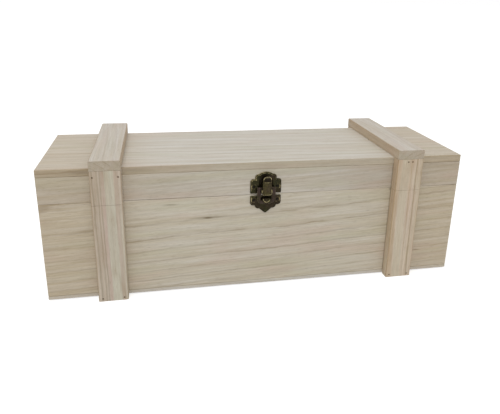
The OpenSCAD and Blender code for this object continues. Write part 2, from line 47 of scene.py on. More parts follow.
# ---- Walls and panels ----
# The box is glued up shut from planed paulownia boards, which are light, soft and left raw, and
# is then sawn apart at the lid. Front and back cover the ends, and the panels cover all four.

EASE = 0.4 * MM
JOINT_R = 0.2 * MM
SEAM_R = 0.06 * MM
SUPPORT = 0.5 * MM
CAP_INSET = 0.2 * MM
SMALL_R = 0.05 * MM
WORN_DEPTH = 0.05 * MM
BOARD_STEP = 9 * MM


def span(node):
    """Lowest and highest corner of a CAD node, as arrays."""
    return tuple(np.array(corner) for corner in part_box(node))


rim_z = span("base_front_board")[1][2]
lid_z = span("lid_front_board")[0][2]


def skin(rings, wear_and_light=0.0):
    """Closed surface through rings of points, where rings[i, j] is point j of ring i.

    Point j of a ring is joined to point j of the next by quads, and a fan to the ring's mean
    closes each end. Where the volume, a sum of triple products, comes out negative, the faces
    are turned round. The wear and painted light, from -1 to 1, goes with the points.
    """
    count, points = rings.shape[:2]
    i = np.arange(count - 1)[:, None] * points
    j = np.arange(points)
    j_next = (j + 1) % points
    quads = np.stack([i + j, i + j_next, i + points + j_next, i + points + j], -1).reshape(-1, 4)
    triangles = np.concatenate([quads[:, [0, 1, 2]], quads[:, [0, 2, 3]]])
    end = j + (count - 1) * points
    fans = np.concatenate([
        np.stack([np.roll(j, -1), j, np.full(points, count * points)], -1),
        np.stack([end, np.roll(end, -1), np.full(points, count * points + 1)], -1),
    ])
    vertices = np.concatenate([rings.reshape(-1, 3), [rings[0].mean(0), rings[-1].mean(0)]])
    wear_and_light = np.broadcast_to(wear_and_light, (count, points)).ravel()
    wear_and_light = np.concatenate([wear_and_light, wear_and_light[:1], wear_and_light[-1:]])
    corners = vertices[np.concatenate([triangles, fans])]
    volume = np.einsum("ij,ij->", corners[:, 0], np.cross(corners[:, 1], corners[:, 2]))
    turn = 1 if volume > 0 else -1
    return vertices, quads[:, ::turn].tolist() + fans[:, ::turn].tolist(), wear_and_light


def placed(name, data):
    """A new object in the scene, at the origin."""
    made = bpy.data.objects.new(name, data)
    bpy.context.scene.collection.objects.link(made)
    return made


SHARP_ANGLE = math.radians(38)


def piece(name, shells, material, body, node):
    """One object from closed shells, smooth but for its sharp edges, in place of a CAD node."""
    vertices, faces, start = [], [], 0
    for points, polygons, _ in shells:
        vertices.append(points)
        faces += [[corner + start for corner in polygon] for polygon in polygons]
        start += len(points)
    mesh = bpy.data.meshes.new(name)
    mesh.from_pydata(np.concatenate(vertices).tolist(), [], faces)
    worn = mesh.attributes.new("wear_and_light", "FLOAT", "POINT")
    worn.data.foreach_set("value", np.concatenate([s[2] for s in shells]).astype(np.float32))
    mesh.shade_smooth()
    mesh.set_sharp_from_angle(angle=SHARP_ANGLE)
    mesh.materials.append(material)
    made = placed(name, mesh)
    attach(made, body)
    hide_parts(node)


def rounded_rectangle(half_a, half_b, radii, inset=0, stops_a=(), stops_b=()):
    """Points round a rounded rectangle: an arc about each corner's centre, and the stops on the
    straight sides between. The two radii are those at the low and the high side of b. The inset
    moves all four sides inwards and tightens the arcs."""
    reach_a, reach_b = half_a - inset, half_b - inset
    loop = []
    for turn, (side_a, side_b) in enumerate(((1, 1), (-1, 1), (-1, -1), (1, -1))):
        r = max(radii[side_b > 0] - inset, SMALL_R)
        angle = np.linspace(0, math.pi / 2, 4) + turn * math.pi / 2
        loop.append(np.stack([side_a * (reach_a - r) + r * np.cos(angle),
                              side_b * (reach_b - r) + r * np.sin(angle)], -1))
        stops = stops_b if turn % 2 else stops_a
        order = stops[::-1] if turn < 2 else stops
        edge = np.full(len(stops), side_a * reach_a if turn % 2 else side_b * reach_b)
        loop.append(np.stack([edge, order] if turn % 2 else [order, edge], -1))
    return np.concatenate(loop)


def stops_between(half, step, extra=()):
    """Places across a face: evenly spaced, one beside each edge, and any extra ones."""
    reach = half - EASE - SUPPORT
    even = np.linspace(-reach, reach, max(2, int(2 * reach / step)))
    fine = [x for x in extra if abs(x) < reach]
    return np.unique(np.round(np.concatenate([even, fine]), 7))


def end_stations(half, radius):
    """Places along a board, and insets, at which its end shrinks along a quarter circle. The
    first, further in on the end face, keeps that flat."""
    quarter = np.linspace(math.pi / 2, 0, 4)
    turn = [(half - radius * (1 - math.sin(q)), radius * (1 - math.cos(q))) for q in quarter]
    return [(half, radius + CAP_INSET)] + turn


def board_rings(lo, hi, axis, radii, end_radii, step, extra_along=(), extra_a=()):
    """Rings of a board with eased edges: a rounded rectangle carried along the axis."""
    others = [k for k in range(3) if k != axis]
    middle, half = (lo + hi) / 2, (hi - lo) / 2
    run = [(x, 0.0) for x in stops_between(half[axis], step, np.array(extra_along) - middle[axis])]
    low_end = [(-x, d) for x, d in end_stations(half[axis], end_radii[0])]
    stations = low_end + run + end_stations(half[axis], end_radii[1])[::-1]
    stops_a = stops_between(half[others[0]], step, np.array(extra_a) - middle[others[0]])
    stops_b = stops_between(half[others[1]], step)
    rings = []
    for x, inset in stations:
        loop = rounded_rectangle(half[others[0]], half[others[1]], radii, inset, stops_a, stops_b)
        ring = np.full((len(loop), 3), x)
        ring[:, others] = loop
        rings.append(ring + middle)
    return np.array(rings)


def hand_worn(rings, lo, hi, seed):
    """Moves the faces of a board inwards by a slow wave, a sum of three sines of the place, so
    that no edge is dead straight. Only what lies on a face moves, along that face's normal, and
    the faces at the saw cut stay."""
    phase = np.random.default_rng(seed).uniform(0, 2 * math.pi, 3)
    x, y, z = np.moveaxis(rings / MM, -1, 0)
    wave = 1 + 0.5 * np.sin(x / 17 + y / 23 + phase[0]) + 0.3 * np.sin(z / 11 + x / 7 + phase[1])
    wave = wave + 0.2 * np.sin(y / 5 + z / 9 + phase[2])
    offset = rings - (lo + hi) / 2
    near_face = np.abs(offset) > (hi - lo) / 2 - 1.5 * EASE
    near_face[..., 2] &= np.abs(rings[..., 2] - (rim_z + lid_z) / 2) > 2 * EASE
    return rings - np.sign(offset) * near_face * (WORN_DEPTH * wave)[..., None]


# How far the halves close up on each other, in mm, at places along the box
CUT_PLACES = (-175, -125, -105, -15, 15, 110, 155, 172)
CUT_CLOSE = (0.09, 0.08, 0.02, -0.01, 0.09, 0.09, 0.1, -0.02)


def sawn(rings, height, close, depth, seed):
    """Lets the saw wander: the face at this height stands towards the cut by a little, more in
    some places than in others, so that the shut halves nearly meet, less a slow wave."""
    phase = np.random.default_rng(seed).uniform(0, 2 * math.pi, 3)
    x, y = rings[..., 0] / MM, rings[..., 1] / MM
    wave = 0.5 + 0.25 * np.sin(x / 21 + phase[0]) + 0.15 * np.sin(x / 6.3 + y / 8 + phase[1])
    wave = wave + 0.1 * np.sin(x / 2.7 + phase[2])
    middle = (rings[..., 2].min() + rings[..., 2].max()) / 2
    side = 1 if height > middle else -1
    moved = rings.copy()
    near = np.abs(rings[..., 2] - height) < 1.5 * EASE
    close = close + np.interp(x, CUT_PLACES, CUT_CLOSE) * MM
    moved[..., 2] += side * near * (close - depth * wave)
    return moved


def paint(code):
    """A colour as a painter reads it, in sRGB hex, as the linear values that shaders take."""
    values = [int(code[k:k + 2], 16) / 255 for k in (1, 3, 5)]
    linear = [v / 12.92 if v <= 0.04045 else ((v + 0.055) / 1.055) ** 2.4 for v in values]
    return (*linear, 1.0)


class Nodes:
    """The nodes of a material or world. Most methods add one and give the output to go on with."""

    def __init__(self, owner):
        owner.use_nodes = True
        self.owner, self.tree = owner, owner.node_tree
        self.shader = self.tree.nodes.get("Principled BSDF")

    def put(self, socket, value):
        """Links an output to the socket, or sets it to a value or to a colour's hex code."""
        if isinstance(value, bpy.types.NodeSocket):
            self.tree.links.new(value, socket)
        else:
            socket.default_value = paint(value) if isinstance(value, str) else value

    def node(self, kind, inputs, **settings):
        made = self.tree.nodes.new("ShaderNode" + kind)
        for key, value in settings.items():
            setattr(made, key, value)
        for key, value in inputs.items():
            self.put(made.inputs[key], value)
        return made

    def math(self, operation, *values):
        return self.node("Math", dict(enumerate(values)), operation=operation).outputs[0]

    def vector(self, operation, a, b):
        return self.node("VectorMath", {0: a, 1: b}, operation=operation).outputs[0]

    def place(self):
        """Object coordinates in millimetres."""
        coordinates = self.node("TexCoord", {}).outputs["Object"]
        return self.vector("MULTIPLY", coordinates, (1 / MM, 1 / MM, 1 / MM))

    def length(self, vector):
        return self.node("VectorMath", {0: vector}, operation="LENGTH").outputs["Value"]

    def noise(self, where, along, across, detail, roughness=0.5, output="Fac"):
        """Noise whose grains are this long along the first axis and this wide across it."""
        spread = self.vector("DIVIDE", where, (along, across, across))
        inputs = {"Vector": spread, "Scale": 1.0, "Detail": detail, "Roughness": roughness}
        return self.node("TexNoise", inputs).outputs[output]

    def fit(self, value, low, high, to_low=0.0, to_high=1.0):
        inputs = dict(enumerate((value, low, high, to_low, to_high)))
        return self.node("MapRange", inputs, interpolation_type="SMOOTHSTEP").outputs["Result"]

    def mix(self, factor, a, b, blend="MIX"):
        inputs = {0: factor, 6: a, 7: b}
        return self.node("Mix", inputs, data_type="RGBA", blend_type=blend).outputs[2]

    def tinted(self, factor, colour, tint):
        return self.mix(factor, colour, self.mix(1.0, colour, tint, "MULTIPLY"))

    def ramp(self, factor, stops):
        """Grey values by place from 0 to 1, as pairs of place and value."""
        made = self.node("ValToRGB", {"Fac": factor})
        elements = made.color_ramp.elements
        while len(elements) < len(stops):
            elements.new(0.5)
        for element, (place, value) in zip(elements, stops):
            element.position = place
            element.color = (value, value, value, 1)
        return made.outputs["Color"]

    def bump(self, height, strength, distance):
        inputs = {"Height": height, "Strength": strength, "Distance": distance}
        self.put(self.shader.inputs["Normal"], self.node("Bump", inputs).outputs[0])

    def finish(self, colour, roughness, **sockets):
        self.put(self.shader.inputs["Base Color"], colour)
        self.put(self.shader.inputs["Roughness"], roughness)
        for key, value in sockets.items():
            self.put(self.shader.inputs[key.replace("_", " ")], value)
        return self.owner


# Strength of a year's pores by place in the year, and of the thin lines between
LATE_WOOD = ((0.0, 0.35), (0.04, 0.03), (0.5, 0.06), (0.84, 0.22), (0.94, 1.0), (1.0, 0.35))
THIN_LINES = ((0.0, 0.0), (0.7, 0.2), (0.9, 1.0), (1.0, 0.0))
THIN_LINES_A_YEAR = 3.37
LATE_STRENGTH, END_LATE_STRENGTH, THIN_STRENGTH, PORE_STRENGTH = 0.66, 0.65, 0.13, 0.3
# The eased-edge tint darkens the eased edges as painted shade.
# The mark brown paints streaks and knots, and also painted shade beside the battens.
END_TINT, EASED_EDGE_SHADE, OUTER_TINT, MARK_AND_SHADE_BROWN = "#ebe5da", "#e3d8c6", "#f7efe4", "#70634a"
GRAIN_RELIEF = 0.12 * MM


def raw_wood(name, axis, pith, ring, lean, tone, lines, seed, rim=None, marks_and_shade=(), bands=()):
    """Raw paulownia as it lies in the log. The rings are circles about a pith that runs along the
    grain beside the board, bent by slow noise, and each ends in a thin dark line of pores. Fibres
    and pores are noise stretched along the grain, so that end grain shows them as dots. A rim is
    an axis and the tint of the faces across it, which on the battens is painted shade on their
    sides. A mark is a dark eye (middle, size, strength): a streak or knot in the wood, or painted
    shade beside a batten or at the seam. A band is a stripe along the grain (place across it, half
    width, softness, colour, strength). Eased edges are darkened as painted shade, and the box's
    ends are a little browner."""
    n = Nodes(bpy.data.materials.new(name))
    split = n.node("SeparateXYZ", {0: n.place()}).outputs
    across = [k for k in range(3) if k != axis]
    along = n.math("ADD", split[axis], seed * 1000)
    sideways = [
        n.math("MULTIPLY_ADD", split[axis], lean[k], n.math("SUBTRACT", split[across[k]], pith[k]))
        for k in (0, 1)
    ]
    grain = n.node("CombineXYZ", {0: along, 1: sideways[0], 2: sideways[1]}).outputs[0]
    slow = n.noise(grain, 130, 55, 1, output="Color")
    quick = n.noise(grain, 14, 5, 3, output="Color")
    slow = n.vector("MULTIPLY", n.vector("SUBTRACT", slow, (0.5, 0.5, 0.5)), (0, 4.5, 4.5))
    quick = n.vector("MULTIPLY", n.vector("SUBTRACT", quick, (0.5, 0.5, 0.5)), (0, 1.5, 1.5))
    bent = n.vector("MULTIPLY", n.vector("ADD", grain, n.vector("ADD", slow, quick)), (0, 1, 1))
    years = n.math("DIVIDE", n.length(bent), ring)
    phase = n.math("FRACT", years)
    year = n.math("ADD", n.math("FLOOR", years), seed)
    strength = n.node("TexWhiteNoise", {"W": year}, noise_dimensions="1D").outputs["Value"]
    late = n.ramp(phase, LATE_WOOD)
    between = n.ramp(n.math("FRACT", n.math("MULTIPLY", years, THIN_LINES_A_YEAR)), THIN_LINES)
    patches = n.fit(n.noise(grain, 30, 6, 3), 0.35, 0.65, 0.4, 1.0)
    late = n.math("MULTIPLY", n.math("MULTIPLY", late, patches), n.fit(strength, 0, 1, 0.7, 1.0))
    fibre = n.noise(grain, 40, 0.9, 4, 0.65)
    streak = n.noise(grain, 90, 3.0, 3, 0.6)
    figure = n.fit(n.noise(grain, 22, 0.8, 2), 0.52, 0.7)
    pore = n.fit(n.noise(grain, 6, 0.33, 1), 0.6, 0.72)
    pale, warm, dark, rosy, olive = tone
    colour = n.mix(n.fit(streak, 0.3, 0.7), pale, warm)
    colour = n.mix(n.fit(n.noise(grain, 70, 16, 2), 0.5, 0.72, 0, 0.45), colour, rosy)
    colour = n.mix(n.fit(n.noise(grain, 90, 11, 2, 0.4), 0.52, 0.7, 0, 0.35), colour, olive)
    for place, half, soft, hue, strong in bands:
        across_grain = n.node("SeparateXYZ", {0: bent}).outputs[1]
        away = n.math("ABSOLUTE", n.math("SUBTRACT", across_grain, place - pith[0]))
        colour = n.mix(n.fit(away, half + soft, half, 0, strong), colour, hue)
    facing = n.node("SeparateXYZ", {0: n.node("TexCoord", {}).outputs["Normal"]}).outputs
    on_end = n.math("ABSOLUTE", facing[axis])
    strong = n.fit(on_end, 0.6, 0.9, LATE_STRENGTH * lines, END_LATE_STRENGTH)
    colour = n.mix(n.math("MULTIPLY", late, strong), colour, dark)
    # Dark eyes: streaks and knots in the wood, and painted shade beside the battens and at the seam.
    for middle, size, strong in marks_and_shade:
        away = n.length(n.vector("DIVIDE", n.vector("SUBTRACT", n.place(), middle), size))
        colour = n.mix(n.fit(away, 1.0, 0.1, 0, strong), colour, MARK_AND_SHADE_BROWN)
    thin = THIN_STRENGTH * lines
    for flecks, strong in ((between, thin), (figure, THIN_STRENGTH), (pore, PORE_STRENGTH)):
        colour = n.mix(n.math("MULTIPLY", flecks, strong), colour, dark)
    colour = n.mix(1.0, colour, n.ramp(fibre, ((0.25, 0.88), (0.75, 1.08))), "MULTIPLY")
    for tinted_axis, tint in ((axis, END_TINT), *([rim] if rim else [])):
        across_it = n.fit(n.math("ABSOLUTE", facing[tinted_axis]), 0.6, 0.9)
        colour = n.tinted(across_it, colour, tint)
    # Painted shade: the eased edges, which catch the light, are darkened.
    eased = n.math("MULTIPLY", *[n.math("ABSOLUTE", facing[k]) for k in across])
    colour = n.tinted(n.fit(eased, 0.1, 0.4, 0, 0.7), colour, EASED_EDGE_SHADE)
    colour = n.tinted(n.fit(n.math("ABSOLUTE", split[axis]), 60, 170, 0, 0.8), colour, OUTER_TINT)
    height = n.math("SUBTRACT", fibre, n.math("ADD", pore, n.math("MULTIPLY", late, 0.5)))
    n.bump(height, 0.35, GRAIN_RELIEF)
    rough = n.fit(fibre, 0.3, 0.7, 0.84, 0.72)
    return n.finish(colour, rough, Specular_IOR_Level=0.25)


X, Y, Z = 0, 1, 2
# Tones of wood: its two grounds, the dark of its pores, and its rosy and olive clouds
PALE = ("#d4d0c8", "#ccc5b8", "#a5967c", "#cfc2b6", "#c8c6b4")
FACE = ("#d4cdbf", "#c9bfaa", "#8f7d62", "#cfbbab", "#c5c1a6")
LID_FACE = ("#cec7bb", "#c3b9a7", "#8b7a61", "#c9b5a6", "#bfbba2")
ENDS = ("#ccbeaf", "#c0af99", "#8f7a60", "#cab09e", "#bdb49b")
front_y = span("base_front_board")[0][1] / MM
BASE_EDGES = (JOINT_R, SEAM_R)
LID_EDGES = (SEAM_R, JOINT_R)
# Marks in the boards: streaks and a knot, painted shade where the seam meets the right batten,
# and painted shade in the corners beside the battens
FRONT_MARKS = (
    ((-44.8, front_y, 64.9), (19, 9, 1.5), 0.5), ((-46.5, front_y, 64.7), (5, 9, 1.3), 0.8),
    ((-76, front_y, 77.8), (9, 9, 1.2), 0.45), ((142.9, front_y, 21.3), (6, 9, 0.9), 0.5),
    # Painted shade: the dark spot where the seam meets the right batten.
    ((111.4, front_y, 82.2), (2.2, 3, 1.6), 0.5),
)
# Painted shade: a thin dark line down the front boards in each corner beside a front batten.
BATTEN_CORNER_SHADE = tuple(
    ((span(f"base_front_batten_{side}")[end][0] / MM, front_y, 55), (1.1, 3, 9999), strength)
    for side, end, strength in (("left", 1, 0.15), ("right", 0, 0.45))
)
# Painted shade: a broad soft darkening of the lid's front towards the right batten.
LID_SHADE_MARK = (((112, front_y, 97), (90, 40, 60), 0.16),)
# Painted shade: dark patches on the top panel's front edge on both sides of the left top batten.
TOP_EDGE_SHADE = (
    ((-143, front_y, 107.8), (16, 3, 2.8), 0.35), ((-103, front_y, 107.8), (22, 3, 3.2), 0.25),
)
BOARDS = (
    # piece, CAD node, body, grain, pith across it, ring width, lean, tone, lines, seed, edges,
    # and for some the tint of the faces across an axis, and marks, some of which are painted shade
    ("base_front_wall", "base_front_board", "base", X, (front_y + 74.7, 96), 5.74, (0.0, -0.05),
     FACE, 0.88, 3, BASE_EDGES, None, FRONT_MARKS + BATTEN_CORNER_SHADE),
    ("base_back_wall", "base_back_board", "base", X, (-60, 110), 5.6, (0.01, 0.02),
     FACE, 0.9, 11, BASE_EDGES),
    ("base_left_wall", "base_left_end", "base", Y, (-150, 30), 6.5, (0.0, 0.03),
     ENDS, 0.9, 17, BASE_EDGES),
    ("base_right_wall", "base_right_end", "base", Y, (140, 45), 7.5, (0.02, -0.02),
     ENDS, 0.9, 23, BASE_EDGES),
    ("floor_panel", "bottom_panel", "base", X, (12, -46), 9.0, (0.0, 0.05),
     PALE, 0.8, 31, (EASE, JOINT_R)),
    ("lid_front_wall", "lid_front_board", "lid", X, (front_y + 74.7, 96), 5.74, (0.0, -0.05),
     LID_FACE, 0.28, 3, LID_EDGES, None, LID_SHADE_MARK + BATTEN_CORNER_SHADE),
    ("lid_back_wall", "lid_back_board", "lid", X, (-60, 110), 5.6, (0.01, 0.02),
     FACE, 0.9, 11, LID_EDGES),
    ("lid_left_wall", "lid_left_end", "lid", Y, (-150, 30), 6.5, (0.0, 0.03),
     ENDS, 0.9, 17, LID_EDGES),
    ("lid_right_wall", "lid_right_end", "lid", Y, (140, 45), 7.5, (0.02, -0.02),
     ENDS, 0.9, 23, LID_EDGES),
    ("top_panel", "lid_top_panel", "lid", X, (230, -40), 8.5, (0.02, 0.0),
     PALE, 0.8, 41, (JOINT_R, EASE), (Y, "#eae3d6"), TOP_EDGE_SHADE),
)
for name, node, body, axis, pith, ring, lean, tone, lines, seed, edges, *extras in BOARDS:
    ends = (EASE, EASE) if axis == X else (JOINT_R, JOINT_R)
    lo, hi = span(node)
    rings = hand_worn(board_rings(lo, hi, axis, edges, ends, BOARD_STEP), lo, hi, seed)
    if abs(hi[2] - rim_z) < 0.1 * MM:
        rings = sawn(rings, rim_z, 0.02 * MM, 0.08 * MM, seed)
    if abs(lo[2] - lid_z) < 0.1 * MM:
        rings = sawn(rings, lid_z, 0.02 * MM, 0.08 * MM, seed + 1)
    wood = raw_wood(name + "_wood", axis, pith, ring, lean, tone, lines, seed, *extras)
    piece(name, [skin(rings)], wood, body, node)

# ---- Battens ----
# Six planed battens give the box its crate look: four stand on the front and back, sawn through
# with the lid, and two lie over the lid. Their long outer edges are eased, and the ends are sawn.

BATTEN_EASE = 0.8 * MM
SAWN_R = 0.08 * MM
BATTEN_STEP = 6 * MM
PIT_R = 0.85 * MM
PIT_SLOPE = 0.35 * MM
PIT_DEPTH = 0.35 * MM
FACE_BAND = 0.12 * MM
BATTEN_TONES = (
    ("#d5ccc0", "#cbbeae", "#987f5f", "#d1b9ac", "#c5c2aa"),
    ("#d7c9b7", "#cdbba4", "#9a7e5a", "#d2b7a4", "#c5bea3"),
)
TOP_TONE = ("#cec7bd", "#c6bdae", "#9b8870", "#c9b8ac", "#c0bdac")
# Painted shade: the battens' side faces, across x, are tinted darker.
POST_SIDE_SHADE = (X, "#faf7f2")
TOP_SIDE_SHADE = (X, "#f7ebdb")
# Stripes of the two front battens by distance from their left edges
BATTEN_BANDS = (
    ((1.5, 1.5, 1.0, "#c4b49d", 0.35), (6.0, 2.0, 1.5, "#b3a38b", 0.35),
     (4.0, 0.2, 0.7, "#8a7a62", 0.4), (7.4, 0.1, 0.7, "#8f7f68", 0.35),
     (9.4, 0.1, 0.7, "#8a7a62", 0.4), (11.4, 0.6, 1.2, "#c6ada0", 0.4),
     (16.0, 3.0, 1.0, "#ccc9b6", 0.7), (20.9, 0.9, 1.4, "#b09a84", 0.45)),
    ((3.0, 1.2, 1.5, "#c0a98a", 0.5), (9.5, 3.0, 1.5, "#cfc6b0", 0.6),
     (14.8, 0.1, 0.7, "#a5926f", 0.3), (19.2, 0.1, 0.7, "#89755a", 0.5)),
)
# Where the pith lies: to the right of each batten's left edge, and in y or z, in mm
POST_PITH_X, POST_PITH_Y = (9, 16), {"front": -130, "back": 150}
TOP_PITH_X, TOP_PITH_Z = (-14, 30), 85


def clumps(node, pitch):
    """Vertices of the separate solids in a node that holds several, told apart by x and z."""
    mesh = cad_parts[node].data
    flat = np.empty(len(mesh.vertices) * 3, np.float32)
    mesh.vertices.foreach_get("co", flat)
    left, groups = flat.reshape(-1, 3).astype(float), []
    while len(left):
        near = np.hypot(*(left - left[0])[:, [0, 2]].T) < pitch
        groups.append(left[near])
        left = left[~near]
    return groups


def middles(node, pitch):
    """The x and z of the middles of a node's separate solids."""
    return np.array([((c.min(0) + c.max(0)) / 2)[[0, 2]] for c in clumps(node, pitch)])


def smooth(t):
    """0 to 1 with a soft start and end."""
    t = np.clip(t, 0, 1)
    return t * t * (3 - 2 * t)


def pitted(rings, face_y, brads):
    """Sinks the outer face round each brad, as a set brad tears it: a flat floor and a slope
    up, as a smooth step of the distance from the brad's middle."""
    moved = rings.copy()
    on_face = np.abs(rings[..., 1] - face_y) < FACE_BAND
    for x, z in brads:
        away = np.hypot(rings[..., 0] - x, rings[..., 2] - z)
        moved[..., 1] -= np.sign(face_y) * on_face * PIT_DEPTH * smooth((PIT_R - away) / PIT_SLOPE)
    return moved


BRAD_PITCH = 2 * MM
round_a_pit = np.linspace(-1.1, 1.1, 12) * MM
for level in ("base", "lid"):
    brads = middles(f"{level}_batten_brads", BRAD_PITCH)
    for face in ("front", "back"):
        radii = (BATTEN_EASE, JOINT_R) if face == "front" else (JOINT_R, BATTEN_EASE)
        for number, side in enumerate(("left", "right")):
            node = f"{level}_{face}_batten_{side}"
            lo, hi = span(node)
            here = brads[(brads[:, 0] > lo[0]) & (brads[:, 0] < hi[0])]
            columns, rows = [(here[:, k:k + 1] + round_a_pit).ravel() for k in (0, 1)]
            rings = board_rings(lo, hi, Z, radii, (SAWN_R, SAWN_R), BATTEN_STEP, rows, columns)
            rings = hand_worn(rings, lo, hi, 50 + number)
            rings = pitted(rings, lo[1] if face == "front" else hi[1], here)
            cut_z = rim_z if level == "base" else lid_z
            rings = sawn(rings, cut_z, 0.04 * MM, 0.05 * MM, 60 + number)
            edge = lo[0] / MM
            pith = (edge + POST_PITH_X[number], POST_PITH_Y[face])
            bands = [(edge + b[0], *b[1:]) for b in BATTEN_BANDS[number]] if face == "front" else ()
            wood = raw_wood(f"{node}_wood", Z, pith, 5.5, (0.01, 0.02), BATTEN_TONES[number],
                            0.6, 70 + number, POST_SIDE_SHADE, (), bands)
            piece(f"{level}_{face}_post_{side}", [skin(rings)], wood, level, node)
for number, side in enumerate(("left", "right")):
    node = f"top_batten_{side}"
    lo, hi = span(node)
    rings = board_rings(lo, hi, Y, (JOINT_R, BATTEN_EASE), (SAWN_R, SAWN_R), BATTEN_STEP)
    rings = hand_worn(rings, lo, hi, 80 + number)
    pith = (lo[0] / MM + TOP_PITH_X[number], TOP_PITH_Z)
    wood = raw_wood(f"{node}_wood", Y, pith, 4.5, (0.02, 0.01), TOP_TONE, 0.5, 90 + number, TOP_SIDE_SHADE)
    piece(f"top_post_{side}", [skin(rings)], wood, "lid", node)

# ---- Brads ----
# Headless wire brads hold the battens. They are set a little below the face, so that only the
# dark cut end of the wire shows, in a small torn pit.

WIRE_R = 0.5
# Distance along the wire from its cut end, and radius
WIRE = [(-13, 0.15), (-12, 0.45), (-11.5, WIRE_R), (-0.12, WIRE_R), (-0.03, 0.42), (0, 0.25)]


def turned(profile, points=24):
    """Rings about the first axis: each pair is a distance along it and a radius."""
    angle = np.linspace(0, 2 * math.pi, points, endpoint=False)
    profile = np.array(profile, float)
    along, radius = profile[:, :1], profile[:, 1:]
    rings = np.broadcast_arrays(along, radius * np.cos(angle), radius * np.sin(angle))
    return np.stack(rings, -1)


def aimed(rings, axis, start):
    """Turns rings made about the first axis so that it points along the given one, in metres."""
    axis = np.array(axis, float)
    side = np.roll(np.abs(axis), 1)
    third = np.cross(axis, side)
    return rings @ np.stack([axis, side, third]) * MM + start


def wire_steel(name):
    """Bright drawn wire gone dull: dark grey with rusty brown clouds."""
    n = Nodes(bpy.data.materials.new(name))
    cloud = n.noise(n.place(), 0.6, 0.6, 4, 0.6)
    colour = n.mix(n.fit(cloud, 0.35, 0.65), "#3a3431", "#5b4a3c")
    n.bump(cloud, 0.4, 0.05 * MM)
    return n.finish(colour, n.fit(cloud, 0.3, 0.7, 0.45, 0.65), Metallic=0.7)


wire_look = wire_steel("wire_steel")
for level in ("base", "lid"):
    node = f"{level}_batten_brads"
    lo, hi = span(node)
    shells = []
    for x, z in middles(node, BRAD_PITCH):
        for out in (-1, 1):
            tip = lo[1] if out < 0 else hi[1]
            shells.append(skin(aimed(turned(WIRE), (0, out, 0), (x, tip, z))))
    piece(f"{level}_brads", shells, wire_look, level, node)

# ---- Hinges ----
# Two small butt hinges on the back battens. Each leaf is a stamped brass plate, darkened, whose
# tabs are rolled round the pin: two tabs on the base's leaf and one between them on the lid's.

LEAF_T, LEAF_R, LEAF_EASE = 0.8, 1.4, 0.15
ROLL_R, ROLL_TURN = 1.2, 5.5
GAP = 0.3
NOTCH = 1.6 + GAP
TAB_START = NOTCH + 0.8
PIN_R, BEAD_R = 0.8, 1.28
# The grime tint serves grime in hollows and also painted shade where the wear value is negative.
GRIME_AND_SHADE_TINT, PITTED_SKIN = "#7d7568", 0.05 * MM


def inset(outline, distance):
    """The outline, a loop of points, moved inwards along the mean normal at each point."""
    ahead = np.roll(outline, -1, 0) - outline
    ahead = ahead / np.linalg.norm(ahead, axis=1, keepdims=True)
    normal = np.stack([ahead[:, 1], -ahead[:, 0]], -1)
    before = np.roll(normal, 1, 0)
    mean = (normal + before) / np.maximum(1 + (normal * before).sum(1, keepdims=True), 0.3)
    return outline - distance * mean


FLAT_IN = 0.35


def slab(outline, low, high, ease):
    """Rings of a plate: its outline, anticlockwise in the first two axes, is carried from low to
    high along the third, and both rims are rounded along quarter circles."""
    quarter = np.linspace(math.pi / 2, 0, 4)
    half = [(ease * (1 - math.sin(q)), ease * (1 - math.cos(q))) for q in quarter]
    rows = [(low, ease + FLAT_IN)] + [(low + h, d) for h, d in half]
    rows += [(high - h, d) for h, d in half[::-1]] + [(high, ease + FLAT_IN)]
    loops = [np.column_stack([inset(outline, d), np.full(len(outline), h)]) for h, d in rows]
    return np.array(loops)


def edge_wear(rings):
    """Wear for a slab: 1 on the rows round its edge, and none on its faces."""
    wear_and_light = np.zeros(rings.shape[:2])
    wear_and_light[3:7] = 1
    return wear_and_light


def arc(middle, radius, start, end, points=7):
    """Points of an arc, from one angle in degrees to another."""
    angle = np.radians(np.linspace(start, end, points))
    return np.stack([middle[0] + radius * np.cos(angle), middle[1] + radius * np.sin(angle)], -1)


def dark_brass(name, ground, green, purple, bright, seed):
    """Brass darkened in a bath and then tumbled: green and purple clouds in the dark ground,
    rubbed bright where the wear and painted highlight is 1, and caked with grime or darkened as
    painted shade where it is -1, with a pitted skin."""
    n = Nodes(bpy.data.materials.new(name))
    place = n.vector("ADD", n.place(), (seed * 10, 0, 0))
    wear_and_light = n.node("Attribute", {}, attribute_name="wear_and_light").outputs["Fac"]
    mottle = n.noise(place, 1.3, 1.3, 5, 0.65)
    cloud = n.noise(place, 7, 7, 2)
    colour = n.mix(n.fit(cloud, 0.5, 0.62, 0, 0.8), ground, green)
    colour = n.mix(n.fit(cloud, 0.5, 0.38, 0, 0.8), colour, purple)
    colour = n.mix(1.0, colour, n.ramp(mottle, ((0.3, 0.55), (0.7, 1.35))), "MULTIPLY")
    # Bright for rubbed wear and for painted highlights.
    rubbed = n.fit(n.math("MULTIPLY_ADD", n.math("SUBTRACT", mottle, 0.5), 1.1, wear_and_light), 0.45, 1.05)
    colour = n.mix(rubbed, colour, bright)
    # Dark for grime in hollows and for painted shade.
    colour = n.tinted(n.fit(wear_and_light, -0.1, -1.0), colour, GRIME_AND_SHADE_TINT)
    n.bump(n.noise(place, 0.45, 0.45, 3, 0.6), 0.35, PITTED_SKIN)
    return n.finish(colour, n.fit(mottle, 0.3, 0.7, 0.5, 0.32), Metallic=0.85)


hinge_look = dark_brass("hinge_brass", "#37301f", "#393823", "#393029", "#8f8460", 1)
pin_look = dark_brass("pin_brass", "#332d1f", "#36351f", "#342c26", "#7b7050", 2)
seam_z = (rim_z + lid_z) / 2


